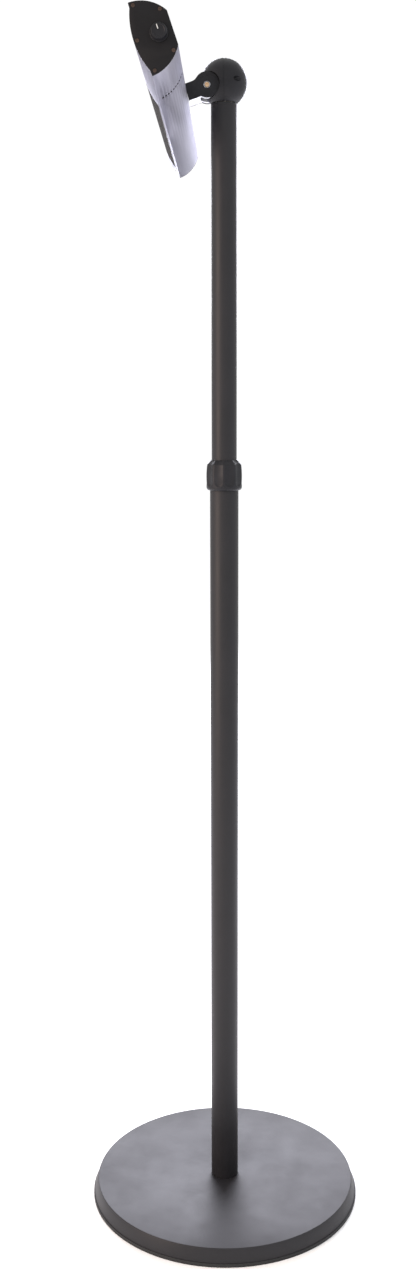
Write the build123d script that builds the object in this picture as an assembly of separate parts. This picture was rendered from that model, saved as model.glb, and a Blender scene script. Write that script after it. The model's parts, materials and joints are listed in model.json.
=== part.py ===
from build123d import *
import math
import os

# Slim electric radiant heater on a telescopic floor stand.
# Millimetres, +Z up. The origin is the centre of the base's underside, on the pole's axis.
# The heater's long axis runs along Y; the side that gives heat looks towards -X and down.

# ---- fits shared by all the pieces ----
running_clearance = 0.10  # radial, between a part that slides or turns and its guide
moving_gap = 0.35  # between moving parts that must not rub
seat_gap = 0.15  # between pieces that are pushed into one another and stay there
overcut = 5.0  # how far a cutting tool runs past the face that it cuts

# ---- base ----
base_top_radius = 200.0
base_rim_radius = 206.0
base_height = 26.0
cover_sheet = 1.5
rim_band_height = 5.0
weight_radius = 182.0
weight_thickness = 16.0
ring_wall = 1.3
ring_floor = 2.0
ring_inner_lip = 2.2

# ---- pole ----
lower_tube_radius = 20.75
upper_tube_radius = 18.15
tube_wall = 1.5
lower_tube_length = 1096.0
upper_tube_length = 1020.0
upper_tube_top = 1641.4
foot_plug_length = 30.0
foot_bolt_radius = 6.0
foot_bolt_head_radius = 9.5
foot_bolt_head_height = 6.5
foot_washer_radius = 17.0
foot_washer_thickness = 2.0
bolt_engagement = 20.0
bush_length = 34.0
bush_insert = 22.0
bush_bore_radius = 11.0

# ---- twist-lock clutch at the joint of the two tubes ----
collar_length = 43.5
collar_hang = 14.85  # of its mouth below the lower tube's top
collar_mouth_radius = 22.95
collar_widest_radius = 26.7
collar_shoulder_radius = 25.6
collar_foot_height = 6.0
collar_shoulder_height = 6.5
collar_edge_fillet = 1.5
flute_count = 10
flute_tool_radius = 15.0
flute_depth = 1.3
sleeve_foot_gap = 0.85  # between the collar's foot and the sleeve above it
sleeve_wall = 1.6
finger_length = 16.0
finger_tip_wall = 1.2
finger_slots = 4
finger_slot_width = 1.6
collar_thread_gap = 0.4

# ---- ball head ----
ball_radius = 32.5
ball_wall = 3.0
ball_foot_radius = 18.385  # of the flat that the ball stands on
swivel_washer_thickness = 0.8
swivel_washer_radius = 15.5
swivel_plug_depth = 28.0
swivel_stem_radius = 8.0
swivel_flange_radius = 11.5
swivel_flange_thickness = 2.5
ball_floor = 5.0
wire_bore_radius = 4.5
seam_groove_width = 0.6
seam_groove_depth = 0.6
clamp_screw_margin = 6.5  # from the ball's side to the screw's axis
clamp_screw_lift = 0.5
clamp_screw_radius = 1.9
clamp_head_radius = 3.2
clamp_head_height = 2.4
clamp_slot_half_width = 0.64
clamp_slot_half_length = 2.13
clamp_slot_depth = 1.2
clamp_seat = 8.0
clamp_reach = 5.6
clamp_boss_radius = 5.6

# ---- tilt pivot, fork and its covers ----
pivot_forward = 23.1  # from the pole's axis towards the heater
pivot_drop = 6.0  # below the ball's centre
facing_down = 19.0  # degrees that the heater looks below the horizontal
pivot_standoff = 32.8  # from the pivot's axis to the housing's flat back
lug_radius = 16.0
lug_half_width = 10.5
pocket_radius = 17.5
pivot_washer_thickness = 0.9
pivot_washer_radius = 12.0
ear_thickness = 9.0
ear_radius = 16.6
fork_gap = 1.9  # between the ball's lug and the fork's root
arm_above_pivot = 10.7
arm_below_pivot = 11.8
bracket_foot_thickness = 3.0
bracket_foot_margin = 1.6
arm_cover_thickness = 2.5
arm_cover_radius = 17.1
arm_fillet_radius = 12.0
cover_peg_radius = 1.5
cover_peg_length = 4.0
cover_peg_forward = 24.5
cover_peg_rise = 5.5
pivot_screw_radius = 3.0
pivot_head_radius = 3.9
pivot_head_recess = 1.5
pivot_head_clearance = 0.45
pivot_socket_radius = 1.9
pivot_socket_depth = 2.2
pivot_nut_radius = 5.6

# ---- heater housing, an aluminium extrusion ----
heater_length = 740.0
housing_drop = 2.0  # of the section's middle below the pivot's height
back_flat_half = 19.3
side_arc_radius = 46.5
side_arc_lead = 0.5  # of the side arcs' centres in front of the tips
side_arc_middle = 28.0  # degrees round a side arc to its middle point
tip_half = 41.3
tip_depth = 39.0
lip_half = 35.0
lip_depth = 39.3
front_depth = 46.5
housing_wall = 1.8
# The section's corners go in by these shares of the wall; its front corners are thick.
flat_corner_share = 0.45
tip_corner_share = 2.1
tip_corner_lift_share = 0.75
lip_corner_share = 1.3
cap_thickness = 3.0
cap_plug_depth = 6.0
cap_plug_wall = 2.0
cap_plug_smallest = 60.0  # cubic millimetres; smaller bits of the lip are left out
cap_screw_radius = 1.45
cap_screw_head_radius = 2.3
cap_screw_head_height = 1.5
cap_screw_length = 12.0
cap_screw_boss = 2.9
cap_cross_half_width = 0.37
cap_cross_half_length = 1.43
front_screw_inset = 4.0  # from the bulged front
corner_screw_lift = 4.6  # from a tip, along the section's depth
corner_screw_inset = 4.5  # from a tip, along its height
shoulder_screw_drop = 7.0  # in front of the flat back
shoulder_screw_spread = 4.0  # outside the end of the flat back
window_half = 32.0
window_near = 205.0  # from the near end of the heater to the opening
window_far = 42.0  # from the opening to the far end
window_sill = 0.2  # of the opening's cut past the wall's inner side
vent_slots = 10
vent_first_angle = 8.0
vent_pitch_angle = 5.0
vent_slot_width = 2.3
vent_slot_length = 9.0
vent_from_end = 127.0
backing_length = 64.0
backing_width = 30.0
backing_thickness = 3.0
bracket_screw_radius = 2.5
bracket_screw_head_radius = 4.2
bracket_screw_head_height = 3.0
bracket_screw_spacing = 26.0
bracket_screw_engagement = 8.0

# ---- what the housing holds ----
reflector_sheet = 0.8
reflector_depth = 25.0
reflector_half = 30.6
reflector_front_gap = 4.6
lamp_radius = 5.5
lamp_glass = 1.0
lamp_depth = 29.0
lamp_end_margin = 8.0
filament_radius = 1.6
holder_length = 16.0
holder_height = 19.0
holder_depth = 14.0
lamp_seat = 12.0
wire_radius = 0.9
wire_pitch = 7.5
grille_rail_width = 2.0
grille_rail_depth = 1.8
switch_width = 24.0
switch_depth = 18.0
switch_length = 22.0
switch_shaft_radius = 3.0
terminal_width = 22.0
terminal_height = 14.0
terminal_length = 24.0
terminal_poles = 3
terminal_from_window = 4.0
cutout_radius = 8.0
cutout_thickness = 7.0
cutout_from_window = 22.0

# ---- knob and cable inlet on the end caps ----
knob_depth = 16.4  # of its axis behind the housing's flat back
knob_radius = 10.5
knob_face_radius = 8.8
knob_height = 10.0
knob_edge = 1.2
knob_gap = 0.5
knob_bore_depth = 7.0
knob_hub_radius = 5.0
marker_width = 1.1
marker_length = 6.0
marker_inset = 0.4
gland_radius = 8.0
gland_height = 10.0
gland_bore_radius = 3.8
gland_thread_radius = 6.0
gland_inside = 8.0
gland_nut_radius = 8.5
gland_nut_thickness = 3.0

os.makedirs("parts", exist_ok=True)


def save(name, shape):
    shape.label = name
    export_step(shape, f"parts/{name}.step")


def upright(radius, length, bottom, x=0.0, y=0.0):
    """A round bar along Z that starts at the height bottom."""
    return Pos(x, y, bottom) * Cylinder(radius, length, align=(Align.CENTER, Align.CENTER, Align.MIN))


def along_y(radius, start, end, x=0.0, z=0.0):
    """A round bar along Y from start to end."""
    bar = Cylinder(radius, end - start, align=(Align.CENTER, Align.CENTER, Align.MIN))
    return Pos(x, start, z) * Rot(-90, 0, 0) * bar


def along_x(radius, start, end, y=0.0, z=0.0):
    """A round bar along X from start to end."""
    bar = Cylinder(radius, end - start, align=(Align.CENTER, Align.CENTER, Align.MIN))
    return Pos(start, y, z) * Rot(0, 90, 0) * bar


def block(low_x, high_x, low_y, high_y, low_z, high_z):
    middle = ((low_x + high_x) / 2, (low_y + high_y) / 2, (low_z + high_z) / 2)
    return Pos(*middle) * Box(high_x - low_x, high_y - low_y, high_z - low_z)


def turned(*outline):
    """A solid of revolution about Z from (radius, height) corners."""
    face = make_face(Polyline(*outline, close=True).edges())
    return revolve(Plane.XZ * face, Axis.Z)


def only_solid(shape):
    """The largest solid of a cut, which is the piece itself."""
    return max(shape.solids(), key=lambda solid: solid.volume)


# ---------------------------------------------------------------- base
def base_cover():
    """Pressed steel dish: flat top, leaning side, short upright band at the rim."""
    band_top = ring_floor + rim_band_height
    outer = turned(
        (0, ring_floor),
        (base_rim_radius, ring_floor),
        (base_rim_radius, band_top),
        (base_top_radius, base_height),
        (0, base_height),
    )
    top_edge = outer.edges().filter_by(GeomType.CIRCLE).group_by(Axis.Z)[-1]
    outer = fillet(top_edge, cover_sheet)
    inner = turned(
        (0, 0),
        (base_rim_radius - cover_sheet, 0),
        (base_rim_radius - cover_sheet, band_top),
        (base_top_radius - cover_sheet, base_height - cover_sheet),
        (0, base_height - cover_sheet),
    )
    hole = upright(foot_bolt_radius + seat_gap, base_height, overcut)
    return only_solid(outer - inner - hole)


weight_bottom = base_height - cover_sheet - weight_thickness
washer_seat = ring_floor + foot_bolt_head_height + foot_washer_thickness


def base_weight():
    disc = upright(weight_radius, weight_thickness, weight_bottom)
    disc = fillet(disc.edges().filter_by(GeomType.CIRCLE), cover_sheet)
    bolt_hole = upright(foot_bolt_radius + seat_gap, base_height, 0)
    recess = upright(foot_washer_radius + seat_gap, washer_seat, 0)
    return only_solid(disc - bolt_hole - recess)


def base_ring():
    """Rubber edge strip with a groove that the cover's rim is pushed into; the stand rests on it."""
    outer_radius = base_rim_radius + ring_wall
    inner_radius = base_rim_radius - cover_sheet - ring_inner_lip
    return turned(
        (inner_radius, 0),
        (outer_radius, 0),
        (outer_radius, ring_floor + rim_band_height - ring_wall),
        (base_rim_radius, ring_floor + rim_band_height - ring_wall),
        (base_rim_radius, ring_floor),
        (base_rim_radius - cover_sheet, ring_floor),
        (base_rim_radius - cover_sheet, ring_floor + rim_band_height / 2),
        (inner_radius, ring_floor + rim_band_height / 2),
    )


def foot_plug():
    """Steel plug welded in the bottom of the lower tube, threaded for the foot bolt."""
    plug = upright(lower_tube_radius - tube_wall, foot_plug_length, base_height)
    return plug - upright(foot_bolt_radius, bolt_engagement, base_height)


def foot_bolt():
    seat = washer_seat - foot_washer_thickness
    shank = upright(foot_bolt_radius, base_height + bolt_engagement - seat, seat)
    hexagon = RegularPolygon(foot_bolt_head_radius, 6)
    head = Pos(0, 0, seat - foot_bolt_head_height) * extrude(hexagon, foot_bolt_head_height)
    return shank + head


def foot_washer():
    disc = upright(foot_washer_radius, foot_washer_thickness, washer_seat - foot_washer_thickness)
    return disc - upright(foot_bolt_radius, base_height, 0)


save("base_cover", base_cover())
save("base_weight", base_weight())
save("base_ring", base_ring())
save("foot_plug", foot_plug())
save("foot_bolt", foot_bolt())
save("foot_washer", foot_washer())


# ---------------------------------------------------------------- pole
lower_tube_top = base_height + lower_tube_length
upper_tube_bottom = upper_tube_top - upper_tube_length


def pole_tube(radius, length, bottom):
    return upright(radius, length, bottom) - upright(radius - tube_wall, length, bottom)


def slide_bush():
    """Plastic guide pushed into the bottom of the upper tube; it runs in the lower tube."""
    guide_radius = lower_tube_radius - tube_wall - running_clearance
    insert_radius = upper_tube_radius - tube_wall
    guide = upright(guide_radius, bush_length - bush_insert, upper_tube_bottom - bush_length + bush_insert)
    insert = upright(insert_radius, bush_insert, upper_tube_bottom)
    bore = upright(bush_bore_radius, bush_length + overcut, upper_tube_bottom - bush_length)
    return guide + insert - bore


save("lower_tube", pole_tube(lower_tube_radius, lower_tube_length, base_height))
save("upper_tube", pole_tube(upper_tube_radius, upper_tube_length, upper_tube_bottom))
save("slide_bush", slide_bush())


# ---------------------------------------------------------------- twist lock
collar_bottom = lower_tube_top - collar_hang
collar_top = collar_bottom + collar_length
sleeve_radius = lower_tube_radius + sleeve_wall
finger_root_radius = lower_tube_radius - tube_wall / 2
guide_bore_radius = upper_tube_radius + running_clearance


def clutch_sleeve():
    """Plastic sleeve bonded over the lower tube's top, with slit tapered fingers above it."""
    skirt_bottom = collar_bottom + collar_foot_height + sleeve_foot_gap
    web_top = lower_tube_top + sleeve_wall
    sleeve = turned(
        (guide_bore_radius, lower_tube_top),
        (lower_tube_radius, lower_tube_top),
        (lower_tube_radius, skirt_bottom),
        (sleeve_radius, skirt_bottom),
        (sleeve_radius, web_top),
        (finger_root_radius + sleeve_wall, web_top),
        (guide_bore_radius + finger_tip_wall, web_top + finger_length),
        (guide_bore_radius, web_top + finger_length),
    )
    for index in range(finger_slots // 2):
        across = 2 * sleeve_radius + overcut
        slot = block(
            -across / 2,
            across / 2,
            -finger_slot_width / 2,
            finger_slot_width / 2,
            web_top + sleeve_wall,
            web_top + finger_length + overcut,
        )
        sleeve = sleeve - Rot(0, 0, index * 360 / finger_slots) * slot
    return only_solid(sleeve)


def clutch_collar():
    """Fluted grip nut: closes on the lower tube below and on the upper tube above."""
    foot_top = collar_bottom + collar_foot_height
    shoulder = collar_top - collar_shoulder_height
    middle = (foot_top + shoulder) / 2
    web_top = lower_tube_top + sleeve_wall
    tip_height = web_top + finger_length
    side = ThreePointArc(
        (collar_shoulder_radius, foot_top - collar_foot_height / 2),
        (collar_widest_radius, middle),
        (collar_shoulder_radius, shoulder),
    )
    top = Polyline(
        (collar_shoulder_radius, shoulder),
        (upper_tube_radius + collar_edge_fillet, collar_top),
        (0, collar_top),
        (0, collar_bottom),
        (collar_mouth_radius, collar_bottom),
        (collar_shoulder_radius, foot_top - collar_foot_height / 2),
    )
    body = revolve(Plane.XZ * make_face(side.edges() + top.edges()), Axis.Z)
    for index in range(flute_count):
        distance = collar_widest_radius - flute_depth + flute_tool_radius
        angle = math.radians((index + 0.5) * 360 / flute_count)
        place = (distance * math.cos(angle), distance * math.sin(angle))
        body = body - upright(flute_tool_radius, collar_length, foot_top, *place)
    bore = turned(
        (0, collar_bottom),
        (lower_tube_radius + moving_gap, collar_bottom),
        (lower_tube_radius + moving_gap, foot_top),
        (sleeve_radius + collar_thread_gap, foot_top),
        (sleeve_radius + collar_thread_gap, web_top + moving_gap),
        (finger_root_radius + sleeve_wall + moving_gap, web_top + moving_gap),
        (guide_bore_radius + finger_tip_wall + moving_gap, tip_height + moving_gap),
        (upper_tube_radius + moving_gap, tip_height + moving_gap),
        (upper_tube_radius + moving_gap, collar_top),
        (0, collar_top),
    )
    return only_solid(body - bore)


save("clutch_sleeve", clutch_sleeve())
save("clutch_collar", clutch_collar())


# ---------------------------------------------------------------- ball head
ball_foot = upper_tube_top + swivel_washer_thickness
ball_centre_height = math.sqrt(ball_radius**2 - ball_foot_radius**2)
ball_height = ball_foot + ball_centre_height
pivot_height = ball_height - pivot_drop
clamp_height = ball_height + clamp_screw_lift
clamp_screw_offset = ball_radius - clamp_screw_margin
stem_bore_radius = swivel_stem_radius + running_clearance
flange_bottom = ball_foot + ball_floor + running_clearance


def swivel_plug():
    """Plug fixed in the top of the upper tube; the ball's two halves trap its flange and turn on it."""
    plug_bottom = upper_tube_top - swivel_plug_depth
    plug = upright(upper_tube_radius - tube_wall, swivel_plug_depth, plug_bottom)
    flange_top = flange_bottom + swivel_flange_thickness
    stem = upright(swivel_stem_radius, flange_top - upper_tube_top, upper_tube_top)
    flange = upright(swivel_flange_radius, swivel_flange_thickness, flange_bottom)
    return plug + stem + flange - upright(wire_bore_radius, base_height + ball_radius, plug_bottom)


def swivel_washer():
    disc = upright(swivel_washer_radius, swivel_washer_thickness, upper_tube_top)
    return disc - upright(stem_bore_radius, swivel_washer_thickness, upper_tube_top)


def ball():
    """Both halves as one hollow ball with its lug, side pockets, bores and seam groove."""
    centre = Pos(0, 0, ball_height)
    far = 2 * ball_radius
    below = block(-far, far, -far, far, ball_foot - far, ball_foot)
    lug = along_y(lug_radius, -lug_half_width, lug_half_width, -pivot_forward, pivot_height)
    flange_room_radius = swivel_flange_radius + moving_gap
    flange_room_height = swivel_flange_thickness + 2 * running_clearance
    cavity = centre * Sphere(ball_radius - ball_wall)
    cavity = cavity - block(
        -ball_radius, ball_radius, -ball_radius, ball_radius, ball_foot - overcut, ball_foot + ball_floor
    )
    keep = along_y(pocket_radius + ball_wall, -ball_radius, ball_radius, -pivot_forward, pivot_height)
    cavity = cavity - keep
    solid = centre * Sphere(ball_radius) + lug - below
    for side in (-1, 1):
        boss = along_x(clamp_boss_radius, -ball_radius, ball_radius, side * clamp_screw_offset, clamp_height)
        cavity = cavity - boss
    solid = solid - cavity
    for side in (-1, 1):
        edges = sorted((side * lug_half_width, side * 2 * ball_radius))
        solid = solid - along_y(pocket_radius, *edges, -pivot_forward, pivot_height)
        y = side * clamp_screw_offset
        solid = solid - along_x(clamp_head_radius + moving_gap, clamp_seat, ball_radius, y, clamp_height)
        solid = solid - along_x(clamp_screw_radius + seat_gap, 0, clamp_seat, y, clamp_height)
        solid = solid - along_x(clamp_screw_radius, -clamp_reach, 0, y, clamp_height)
    solid = solid - upright(stem_bore_radius, ball_floor + overcut, ball_foot - overcut)
    solid = solid - upright(flange_room_radius, flange_room_height, ball_foot + ball_floor)
    bore_radius = pivot_screw_radius + running_clearance / 2
    solid = solid - along_y(bore_radius, -ball_radius, ball_radius, -pivot_forward, pivot_height)
    groove = along_x(ball_radius + overcut, -seam_groove_width / 2, seam_groove_width / 2, 0, ball_height)
    core = along_x(ball_radius - seam_groove_depth, -seam_groove_width, seam_groove_width, 0, ball_height)
    lower_keep = upright(upper_tube_radius, ball_centre_height / 3, ball_foot)
    return solid - (groove - core - lower_keep)


def ball_half(side):
    limits = (-2 * ball_radius, 0) if side < 0 else (0, 2 * ball_radius)
    reach = 2 * ball_radius
    half_space = block(*limits, -reach, reach, ball_foot - overcut, ball_height + reach)
    return only_solid(ball() & half_space)


def clamp_screws():
    screws = []
    for side in (-1, 1):
        y = side * clamp_screw_offset
        shank = along_x(clamp_screw_radius, -clamp_reach + seat_gap, clamp_seat, y, clamp_height)
        head = along_x(clamp_head_radius, clamp_seat, clamp_seat + clamp_head_height, y, clamp_height)
        drive = block(
            clamp_seat + clamp_head_height - clamp_slot_depth,
            clamp_seat + clamp_head_height + overcut,
            y - clamp_slot_half_width,
            y + clamp_slot_half_width,
            clamp_height - clamp_slot_half_length,
            clamp_height + clamp_slot_half_length,
        )
        screws.append((shank + head - drive).solid())
    return Compound(children=screws)


save("swivel_plug", swivel_plug())
save("swivel_washer", swivel_washer())
save("ball_shell_front", ball_half(-1))
save("ball_shell_rear", ball_half(1))
save("ball_screws", clamp_screws())


# ---------------------------------------------------------------- tilting fork
# From here the heater and its fork are drawn upright with the pivot's axis at the origin:
# -X points from the pivot to the heater, and hang() then leans them into their place.
hang_place = Pos(-pivot_forward, 0, pivot_height) * Rot(0, -facing_down, 0)
ear_inner = lug_half_width + running_clearance + pivot_washer_thickness
ear_outer = ear_inner + ear_thickness
fork_half_width = ear_outer + arm_cover_thickness
fork_root = lug_radius + fork_gap
foot_back = -pivot_standoff + bracket_foot_thickness


def hang(shape):
    return hang_place * shape


def fork_bracket():
    """Aluminium fork: a foot flat on the housing, a solid root and two ears round the ball's lug."""
    arm = block(foot_back, 0, -ear_outer, ear_outer, -arm_below_pivot, arm_above_pivot)
    round_end = along_y(ear_radius, -ear_outer, ear_outer)
    foot = block(
        -pivot_standoff,
        foot_back,
        -fork_half_width,
        fork_half_width,
        -arm_below_pivot - bracket_foot_margin,
        arm_above_pivot + bracket_foot_margin,
    )
    gap = along_y(fork_root, -ear_inner, ear_inner)
    gap = gap + block(0, ear_radius + overcut, -ear_inner, ear_inner, -fork_root, fork_root)
    bore = along_y(pivot_screw_radius, -ear_outer, ear_outer)
    shape = arm + round_end + foot - gap - bore
    for side in (-1, 1):
        seat = sorted((side * (ear_outer - pivot_head_recess), side * (ear_outer + overcut)))
        head_radius = pivot_head_radius if side < 0 else pivot_nut_radius
        shape = shape - along_y(head_radius + seat_gap, *seat)
        hole_y = side * bracket_screw_spacing / 2
        hole_end = -pivot_standoff + bracket_screw_engagement
        hole = along_x(bracket_screw_radius, -pivot_standoff - overcut, hole_end)
        shape = shape - Pos(0, hole_y, -housing_drop) * hole
        for rise in (-cover_peg_rise, cover_peg_rise):
            hole_span = sorted((side * (ear_outer - cover_peg_length), side * (ear_outer + overcut)))
            shape = shape - along_y(cover_peg_radius + seat_gap, *hole_span, -cover_peg_forward, rise)
    return only_solid(shape)


def arm_cover_outline():
    """Round end on the pivot, straight arm, and a hollow curve that joins them on the upper side."""
    fillet_height = arm_above_pivot + arm_fillet_radius
    reach = math.sqrt((arm_cover_radius + arm_fillet_radius) ** 2 - fillet_height**2)
    share = arm_cover_radius / (arm_cover_radius + arm_fillet_radius)
    web = Polyline(
        (0, 0),
        (-reach, arm_above_pivot),
        (-reach, fillet_height),
        (-reach * share, fillet_height * share),
        close=True,
    )
    arm = Polyline(
        (0, -arm_below_pivot),
        (0, arm_above_pivot),
        (foot_back, arm_above_pivot),
        (foot_back, -arm_below_pivot),
        close=True,
    )
    hollow = Pos(-reach, fillet_height) * Circle(arm_fillet_radius)
    return Circle(arm_cover_radius) + make_face(arm.edges()) + (make_face(web.edges()) - hollow)


def arm_cover(side):
    """Black side plate with two pegs pressed into the fork's ear."""
    plate = extrude(Plane.XZ * arm_cover_outline(), -arm_cover_thickness)
    plate = Pos(0, ear_outer if side > 0 else -fork_half_width, 0) * plate
    head_radius = pivot_head_radius if side < 0 else pivot_nut_radius
    plate = plate - along_y(head_radius + pivot_head_clearance, -2 * fork_half_width, 2 * fork_half_width)
    for rise in (-cover_peg_rise, cover_peg_rise):
        span = sorted((side * (ear_outer - cover_peg_length + seat_gap), side * ear_outer))
        plate = plate + along_y(cover_peg_radius, *span, -cover_peg_forward, rise)
    return only_solid(plate)


def pivot_screw():
    seat = ear_outer - pivot_head_recess
    shank = along_y(pivot_screw_radius, -seat, fork_half_width - seat_gap)
    head = along_y(pivot_head_radius, -fork_half_width + seat_gap, -seat)
    socket_end = -fork_half_width + seat_gap + pivot_socket_depth
    socket = along_y(pivot_socket_radius, -fork_half_width - overcut, socket_end)
    return shank + head - socket


def pivot_nut():
    seat = ear_outer - pivot_head_recess
    thickness = fork_half_width - seat_gap - seat
    hexagon = extrude(Plane.XZ * RegularPolygon(pivot_nut_radius, 6), -thickness)
    return Pos(0, seat, 0) * hexagon - along_y(pivot_screw_radius, 0, 2 * fork_half_width)


def pivot_washers():
    washers = []
    for side in (-1, 1):
        faces = sorted((side * (ear_inner - pivot_washer_thickness), side * ear_inner))
        ring = along_y(pivot_washer_radius, *faces) - along_y(pivot_screw_radius, *faces)
        washers.append(ring.solid())
    return Compound(children=washers)


save("fork_bracket", hang(fork_bracket()))
save("arm_cover_near", hang(arm_cover(-1)))
save("arm_cover_far", hang(arm_cover(1)))
save("pivot_screw", hang(pivot_screw()))
save("pivot_nut", hang(pivot_nut()))
save("pivot_washers", hang(pivot_washers()))


# ---------------------------------------------------------------- heater housing
# Sections are drawn with the middle of the flat back at the origin, x towards the pivot.
section_place = Pos(-pivot_standoff, 0, -housing_drop)
housing_half = heater_length / 2 - cap_thickness
arc_centre_depth = tip_depth + side_arc_lead
arc_drop = math.sqrt(side_arc_radius**2 - arc_centre_depth**2) - back_flat_half
window_start = -heater_length / 2 + window_near
window_end = heater_length / 2 - window_far
screw_corner = (-tip_depth + corner_screw_lift, tip_half - corner_screw_inset)
screw_shoulder = (-shoulder_screw_drop, back_flat_half + shoulder_screw_spread)
screw_front = (-front_depth + front_screw_inset, 0.0)


def section_outline(inset=0.0):
    """The housing's section, or the same section drawn smaller by inset all round."""
    flat = back_flat_half - inset * flat_corner_share
    tip = tip_half - inset * tip_corner_share
    tip_x = -tip_depth + inset * tip_corner_lift_share
    lip_x = -lip_depth + inset
    lip = lip_half - inset * lip_corner_share
    middle_radius = side_arc_radius - inset
    middle_angle = math.radians(side_arc_middle)
    mid_x = -arc_centre_depth + middle_radius * math.sin(middle_angle)
    mid_z = -arc_drop + middle_radius * math.cos(middle_angle)
    outline = [
        ThreePointArc((-inset, flat), (mid_x, mid_z), (tip_x, tip)),
        Line((tip_x, tip), (lip_x, lip)),
        ThreePointArc((lip_x, lip), (-front_depth + inset, 0), (lip_x, -lip)),
        Line((lip_x, -lip), (tip_x, -tip)),
        ThreePointArc((tip_x, -tip), (mid_x, -mid_z), (-inset, -flat)),
        Line((-inset, -flat), (-inset, flat)),
    ]
    return make_face(outline)


def run_along(face, start, end):
    """A section run straight along Y from start to end, in its place behind the pivot."""
    return section_place * Pos(0, start, 0) * extrude(Plane.XZ * face, -(end - start))


def cap_screw_points():
    points = [screw_front]
    for side in (-1, 1):
        points.append((screw_corner[0], side * screw_corner[1]))
        points.append((screw_shoulder[0], side * screw_shoulder[1]))
    return points


def vent_cutters():
    """Slots in one row round each curved side, each pointing at the arc's centre."""
    cutters = []
    depth = 4 * housing_wall
    for index in range(vent_slots):
        angle = vent_first_angle + index * vent_pitch_angle
        tool = Box(depth, vent_slot_length - vent_slot_width, vent_slot_width)
        for end in (-1, 1):
            y = end * (vent_slot_length - vent_slot_width) / 2
            tool = tool + Pos(0, y, 0) * Rot(0, 90, 0) * Cylinder(vent_slot_width / 2, depth)
        radial = Pos(side_arc_radius, 0, 0) * tool
        for side in (-1, 1):
            turn = -side * (90 - angle)
            place = Pos(-arc_centre_depth, vent_from_end - heater_length / 2, -side * arc_drop)
            cutters.append(section_place * place * Rot(0, turn, 0) * radial)
    return cutters


def housing():
    """Extruded aluminium shell with screw channels, a front opening and two rows of vent slots."""
    face = section_outline() - section_outline(housing_wall)
    for x, z in cap_screw_points():
        face = face + (Pos(x, z) * Circle(cap_screw_boss) & section_outline())
    for x, z in cap_screw_points():
        face = face - Pos(x, z) * Circle(cap_screw_radius)
    shell = run_along(face, -housing_half, housing_half)
    sill = -lip_depth + housing_wall + window_sill
    opening = block(-2 * front_depth, sill, window_start, window_end, -window_half, window_half)
    shell = shell - section_place * opening
    for cutter in vent_cutters():
        shell = shell - cutter
    for side in (-1, 1):
        y = side * bracket_screw_spacing / 2
        hole = along_x(bracket_screw_radius + seat_gap, -2 * housing_wall, overcut, y)
        shell = shell - section_place * hole
    return only_solid(shell)


def end_cap(side):
    """Moulded end plate, flush with the housing, with a lip inside and countersunk screw holes."""
    outer = sorted((side * housing_half, side * heater_length / 2))
    plate = run_along(section_outline(), *outer)
    lip_inset = housing_wall + seat_gap
    lip_face = section_outline(lip_inset) - section_outline(lip_inset + cap_plug_wall)
    for x, z in cap_screw_points():
        lip_face = lip_face - Pos(x, z) * Circle(cap_screw_boss + seat_gap)
    inner = sorted((side * (housing_half - cap_plug_depth), side * housing_half))
    lip = run_along(lip_face, *inner)
    cap = plate + [piece for piece in lip.solids() if piece.volume > cap_plug_smallest]
    face_y = side * heater_length / 2
    for x, z in cap_screw_points():
        through = sorted((side * (housing_half - overcut), side * (heater_length / 2 + overcut)))
        cap = cap - section_place * along_y(cap_screw_radius + seat_gap, *through, x, z)
        sink = sorted((face_y, face_y - side * cap_screw_head_height))
        cap = cap - section_place * along_y(cap_screw_head_radius + seat_gap, *sink, x, z)
    reach = sorted((side * (housing_half - cap_plug_depth - overcut), side * (heater_length / 2 + overcut)))
    hole_radius = switch_shaft_radius + moving_gap if side < 0 else gland_thread_radius
    cap = cap - section_place * along_y(hole_radius, *reach, -knob_depth, 0)
    return only_solid(cap)


def cap_screws(side):
    """Countersunk screws that hold one end cap in the housing's channels."""
    screws = []
    face_y = side * heater_length / 2
    for x, z in cap_screw_points():
        head = sorted((face_y, face_y - side * cap_screw_head_height))
        shank = sorted((face_y - side * cap_screw_head_height, face_y - side * cap_screw_length))
        screw = along_y(cap_screw_head_radius, *head, x, z) + along_y(cap_screw_radius, *shank, x, z)
        slot = sorted((face_y - side * cap_screw_head_height / 2, face_y + side * overcut))
        for wide, high in (
            (cap_cross_half_length, cap_cross_half_width),
            (cap_cross_half_width, cap_cross_half_length),
        ):
            screw = screw - block(x - wide, x + wide, *slot, z - high, z + high)
        screws.append((section_place * screw).solid())
    return Compound(children=screws)


def backing_plate():
    """Steel strip inside the housing that spreads the load of the bracket's screws."""
    plate = block(
        -housing_wall - backing_thickness,
        -housing_wall,
        -backing_length / 2,
        backing_length / 2,
        -backing_width / 2,
        backing_width / 2,
    )
    for side in (-1, 1):
        y = side * bracket_screw_spacing / 2
        plate = plate - along_x(bracket_screw_radius + seat_gap, -overcut - backing_thickness, 0, y)
    return section_place * plate


def bracket_screws():
    """Screws put in from inside the housing into the fork's foot."""
    screws = []
    seat = -housing_wall - backing_thickness
    for side in (-1, 1):
        y = side * bracket_screw_spacing / 2
        head = along_x(bracket_screw_head_radius, seat - bracket_screw_head_height, seat, y)
        shank = along_x(bracket_screw_radius, seat, bracket_screw_engagement - seat_gap, y)
        screws.append((section_place * (head + shank)).solid())
    return Compound(children=screws)


save("housing", hang(housing()))
save("end_cap_near", hang(end_cap(-1)))
save("end_cap_far", hang(end_cap(1)))
save("end_cap_screws_near", hang(cap_screws(-1)))
save("end_cap_screws_far", hang(cap_screws(1)))
save("backing_plate", hang(backing_plate()))
save("bracket_screws", hang(bracket_screws()))


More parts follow.
